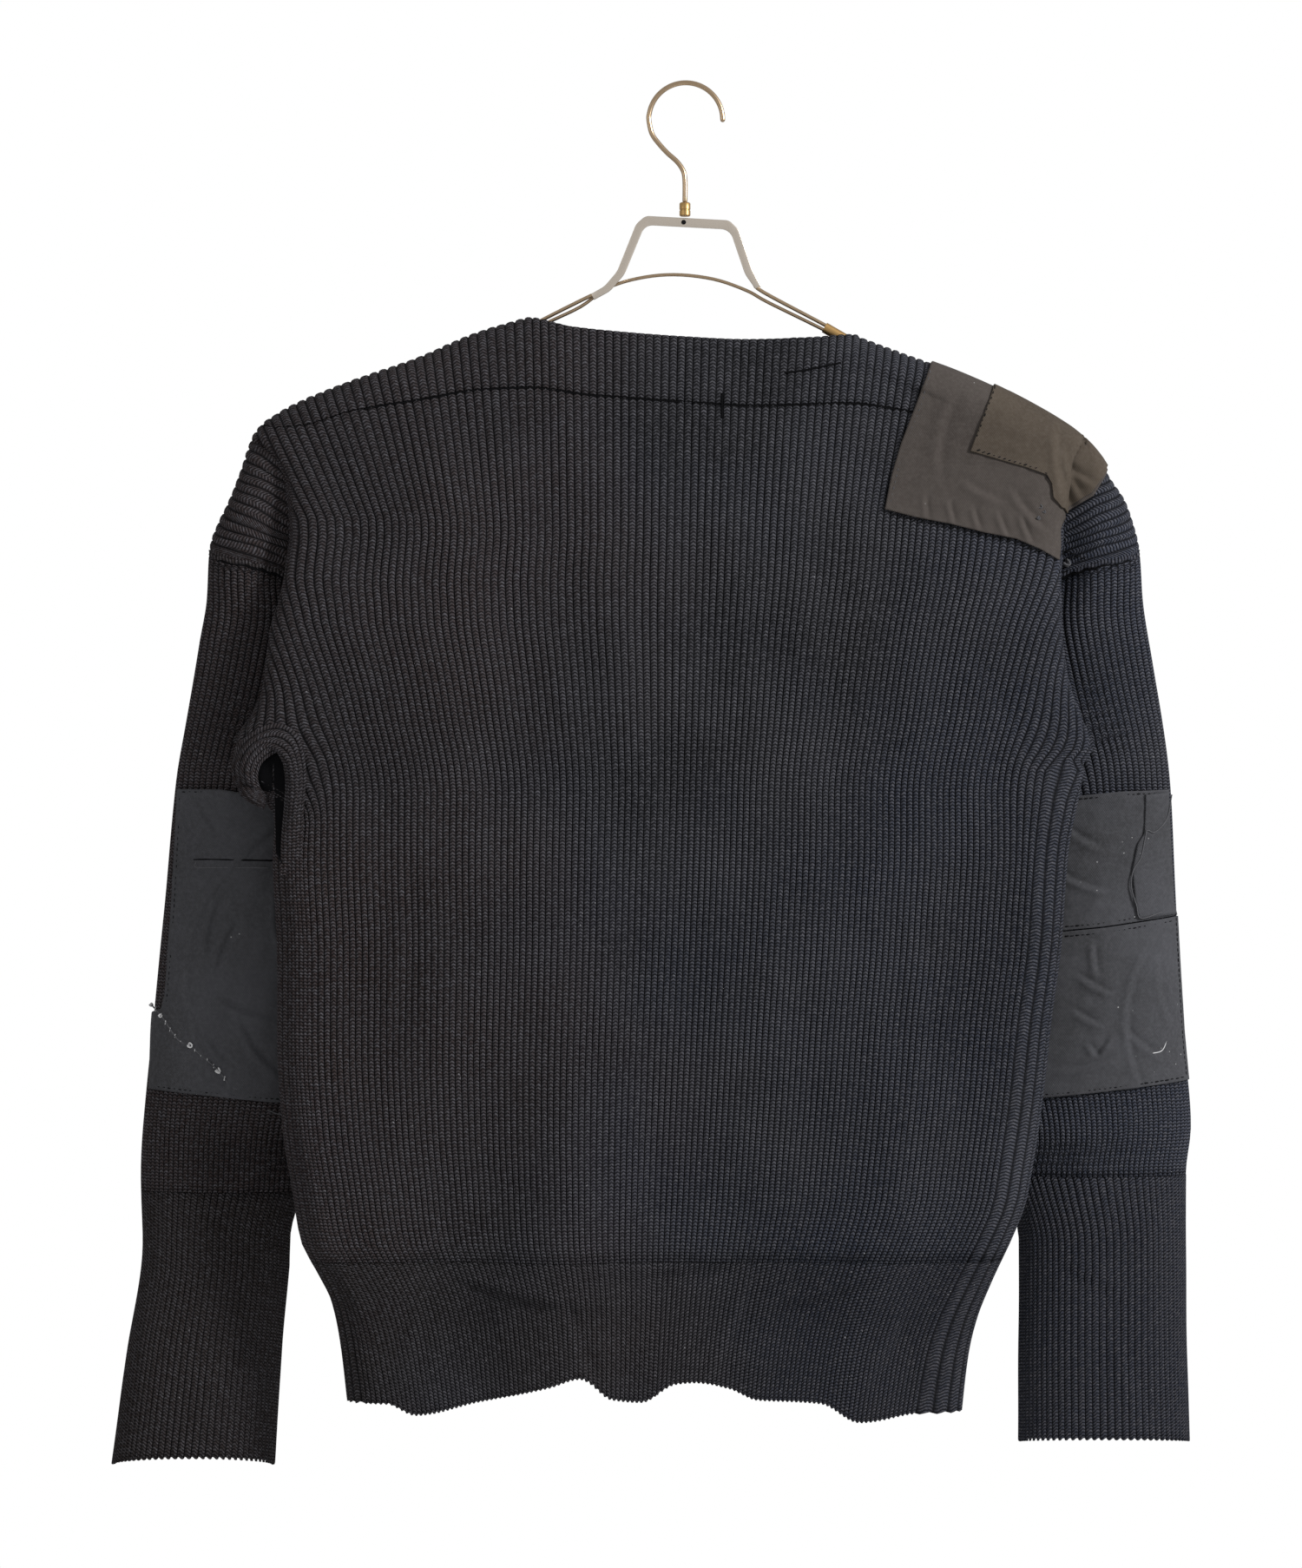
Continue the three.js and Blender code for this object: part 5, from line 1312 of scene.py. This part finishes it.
ARCH = ([(x, y, z - ARM_GAP) for x, y, z in reversed(LEFT_ARM[2:])]
        + [(-66, 1.6, -140), (-50, 2.9, -128.5), (-30, 2.9, -122), (-7, 2.9, -119.6), (18, 2.9, -122.4),
           (39, 2.9, -129.6), (53, 2, -137.4)]
        + [(x, y, z - ARM_GAP) for x, y, z in RIGHT_ARM[2:]])
BAR_OUTER = [(-59.5, -132.2), (-51, -127.4), (-43, -118), (-31, -88), (-25, -82.8), (28, -85.6),
             (34, -91.5), (42.3, -116.5), (48.2, -127.6)]
BAR_INNER = [(44.6, -129), (38, -119.5), (29.4, -94.2), (25.4, -91.2), (-22.6, -88.6), (-26.4, -91),
             (-38.2, -119.6), (-47.4, -130.4), (-57.6, -136)]


def keep(name, shape, mat, stands_for=()):
    """A finished rigid piece from a bmesh made in metres."""
    bmesh.ops.remove_doubles(shape, verts=shape.verts[:], dist=1e-6)
    bmesh.ops.recalc_face_normals(shape, faces=shape.faces[:])
    mesh = bpy.data.meshes.new(name)
    shape.to_mesh(mesh)
    shape.free()
    mesh.materials.append(mat)
    mesh.polygons.foreach_set("use_smooth", [True] * len(mesh.polygons))
    mesh.set_sharp_from_angle(angle=math.radians(40))
    place_piece(name, mesh, stands_for)


def bent_wire(name, line, radius, mat, stands_for=(), wide=1.0, round_ends=True):
    """A round bar, its ring extruded along a smooth line; the ends are rounded over."""
    centre = [Vector(p) * MM for p in line]
    shape = bmesh.new()
    ring = bmesh.ops.create_circle(shape, cap_ends=True, radius=radius * MM, segments=24)["verts"]
    edges = [e for e in shape.edges if all(v in ring for v in e.verts)]
    scales = np.ones(len(centre))
    if round_ends:
        first = [centre[0] + (centre[0] - centre[1]).normalized() * radius * MM * s
                 for s in (0.95, 0.7, 0.35)]
        last = [centre[-1] + (centre[-1] - centre[-2]).normalized() * radius * MM * s
                for s in (0.35, 0.7, 0.95)]
        centre = first + centre + last
        scales = np.concatenate([(0.32, 0.71, 0.94), scales, (0.94, 0.71, 0.32)])
    at = Matrix.Identity(4)
    for i, spot in enumerate(centre):
        run = centre[min(i + 1, len(centre) - 1)] - centre[max(i - 1, 0)]
        across = Vector((0, 1, 0))
        up = run.cross(across).normalized()
        placed = Matrix((up * scales[i] * wide, across * scales[i], run.normalized())).transposed().to_4x4()
        placed.translation = spot
        if i:
            made = bmesh.ops.extrude_edge_only(shape, edges=edges)["geom"]
            ring = [g for g in made if isinstance(g, bmesh.types.BMVert)]
            edges = [g for g in made if isinstance(g, bmesh.types.BMEdge)
                     and all(v in ring for v in g.verts)]
        bmesh.ops.transform(shape, matrix=placed @ at.inverted(), verts=ring)
        at = placed
    bmesh.ops.contextual_create(shape, geom=edges)
    keep(name, shape, mat, stands_for)


bent_wire("hook", smooth_line(HOOK_LINE, 4), 1.6, GILT, ["hanger_hook"])
bent_wire("left_rod", smooth_line(LEFT_ARM, 5), 1.2, GILT, ["hanger_left_arm"])
bent_wire("right_rod", smooth_line(RIGHT_ARM, 5), 1.2, GILT, ["hanger_right_arm"])
bent_wire("lower_rod", smooth_line(ARCH, 5), 1.1, GILT, ["hanger_arch"])
for name, low, high in (("left_clamp", (-98.2, -152.6), (-93.4, -150.2)),
                        ("right_clamp", (88.4, -153.4), (102.6, -161.6))):
    line = [(mix(low[0], high[0], u), 0, mix(low[1], high[1], u)) for u in (0, 0.1, 0.9, 1)]
    bent_wire(name, line, 2.3, BRASS, wide=1.5, round_ends=False)

# the flat bar: its outline filled, pushed to its depth and its long edges rounded
bar = bmesh.new()
outline = [bar.verts.new((x * MM, -1.2 * MM, z * MM)) for x, z in BAR_OUTER + BAR_INNER]
half = len(BAR_OUTER)
for i in range(half - 1):
    bar.faces.new((outline[i], outline[i + 1], outline[2 * half - 2 - i], outline[2 * half - 1 - i]))
made = bmesh.ops.extrude_face_region(bar, geom=bar.faces[:])["geom"]
bmesh.ops.translate(bar, vec=(0, 2.4 * MM, 0), verts=[g for g in made if isinstance(g, bmesh.types.BMVert)])
bmesh.ops.recalc_face_normals(bar, faces=bar.faces[:])
corners = [e for e in bar.edges if len(e.link_faces) == 2
           and math.radians(12) < e.calc_face_angle(0) < math.radians(75)
           and abs(e.verts[0].co.y - e.verts[1].co.y) > MM]
bmesh.ops.bevel(bar, geom=corners, offset=2.2 * MM, offset_type="OFFSET", segments=4, profile=0.5,
                affect="EDGES", material=-1)
rims = [e for e in bar.edges if len(e.link_faces) == 2 and e.calc_face_angle(0) > math.radians(75)]
bmesh.ops.bevel(bar, geom=rims, offset=0.35 * MM, offset_type="OFFSET", segments=3, profile=0.5,
                affect="EDGES", material=-1)
keep("bar", bar, STEEL, ["hanger_bar"])


def turned(name, profile, centre, axis, mat, stands_for=()):
    """A lathe-turned piece: (radius, height) pairs spun about an axis through its centre."""
    shape = bmesh.new()
    verts = [shape.verts.new((r * MM, 0, h * MM)) for r, h in profile]
    edges = [shape.edges.new(pair) for pair in zip(verts, verts[1:])]
    bmesh.ops.spin(shape, geom=verts + edges, cent=(0, 0, 0), axis=(0, 0, 1), angle=2 * math.pi,
                   steps=32, use_merge=True)
    if axis == "y":
        bmesh.ops.rotate(shape, cent=(0, 0, 0), matrix=Matrix.Rotation(math.radians(90), 3, "X"),
                         verts=shape.verts[:])
    bmesh.ops.translate(shape, vec=Vector(centre) * MM, verts=shape.verts[:])
    keep(name, shape, mat, stands_for)


turned("collar", [(0, -4.6), (2.9, -4.6), (3.5, -4.0), (3.5, -1.2), (3.2, -0.9), (3.2, -0.5), (3.5, -0.2),
                  (3.5, 3.4), (3.0, 4.0), (1.9, 4.3), (0, 4.3)], (0, 0, -78.4), "z", BRASS,
       ["hanger_ferrule"])
# a small cap on the bar's face at its screw hole, coloured near-black as painted shade of the hole
turned("bar_hole_shade", [(0, 1.9), (0.9, 1.9), (1.5, 1.5), (1.5, 1.1), (0, 1.1)], (-0.8, 0, -86.9), "y",
       DARK_THREAD)


# ---- studio ----
def lamp(name, place, aim, size, power):
    data = bpy.data.lights.new(name, "AREA")
    data.shape = "DISK"
    data.size = size
    data.energy = power
    light = bpy.data.objects.new(name, data)
    light.location = place
    light.rotation_euler = (Vector(aim) - Vector(place)).to_track_quat("-Z", "Y").to_euler()
    bpy.context.scene.collection.objects.link(light)


lamp("key", (2.2, -1.4, 0.7), (0.0, 0, -0.45), 0.6, 112)
lamp("fill", (-1.9, -2.0, 0.3), (0, 0, -0.45), 1.4, 9)

# the floor lies well below the hem, as under a clothes rail
FLOOR = -1.85
ground = bmesh.new()
bmesh.ops.create_circle(ground, cap_ends=True, radius=1.7, segments=96)
bmesh.ops.translate(ground, vec=(0, 0, FLOOR), verts=ground.verts[:])
floor_mesh = bpy.data.meshes.new("floor")
ground.to_mesh(floor_mesh)
ground.free()
pale, _, shader = material("pale_floor", 0.9)
shader.inputs["Base Color"].default_value = (0.8, 0.8, 0.8, 1)
floor_mesh.materials.append(pale)
floor = bpy.data.objects.new("floor", floor_mesh)
bpy.context.scene.collection.objects.link(floor)

# a white surround; it lights the object less than it shows
SURROUND_SEEN = 1.0
SURROUND_LIGHT = 0.7
world = bpy.data.worlds.new("studio")
world.use_nodes = True
sky = Wiring(world.node_tree)
surround = world.node_tree.nodes["Background"]
surround.inputs["Color"].default_value = (1, 1, 1, 1)
seen = world.node_tree.nodes.new("ShaderNodeLightPath").outputs["Is Camera Ray"]
extra = sky.times(seen, SURROUND_SEEN - SURROUND_LIGHT)
sky.put(surround.inputs["Strength"], sky.plus(extra, SURROUND_LIGHT))
bpy.context.scene.world = world
bpy.context.scene.view_settings.view_transform = "Standard"
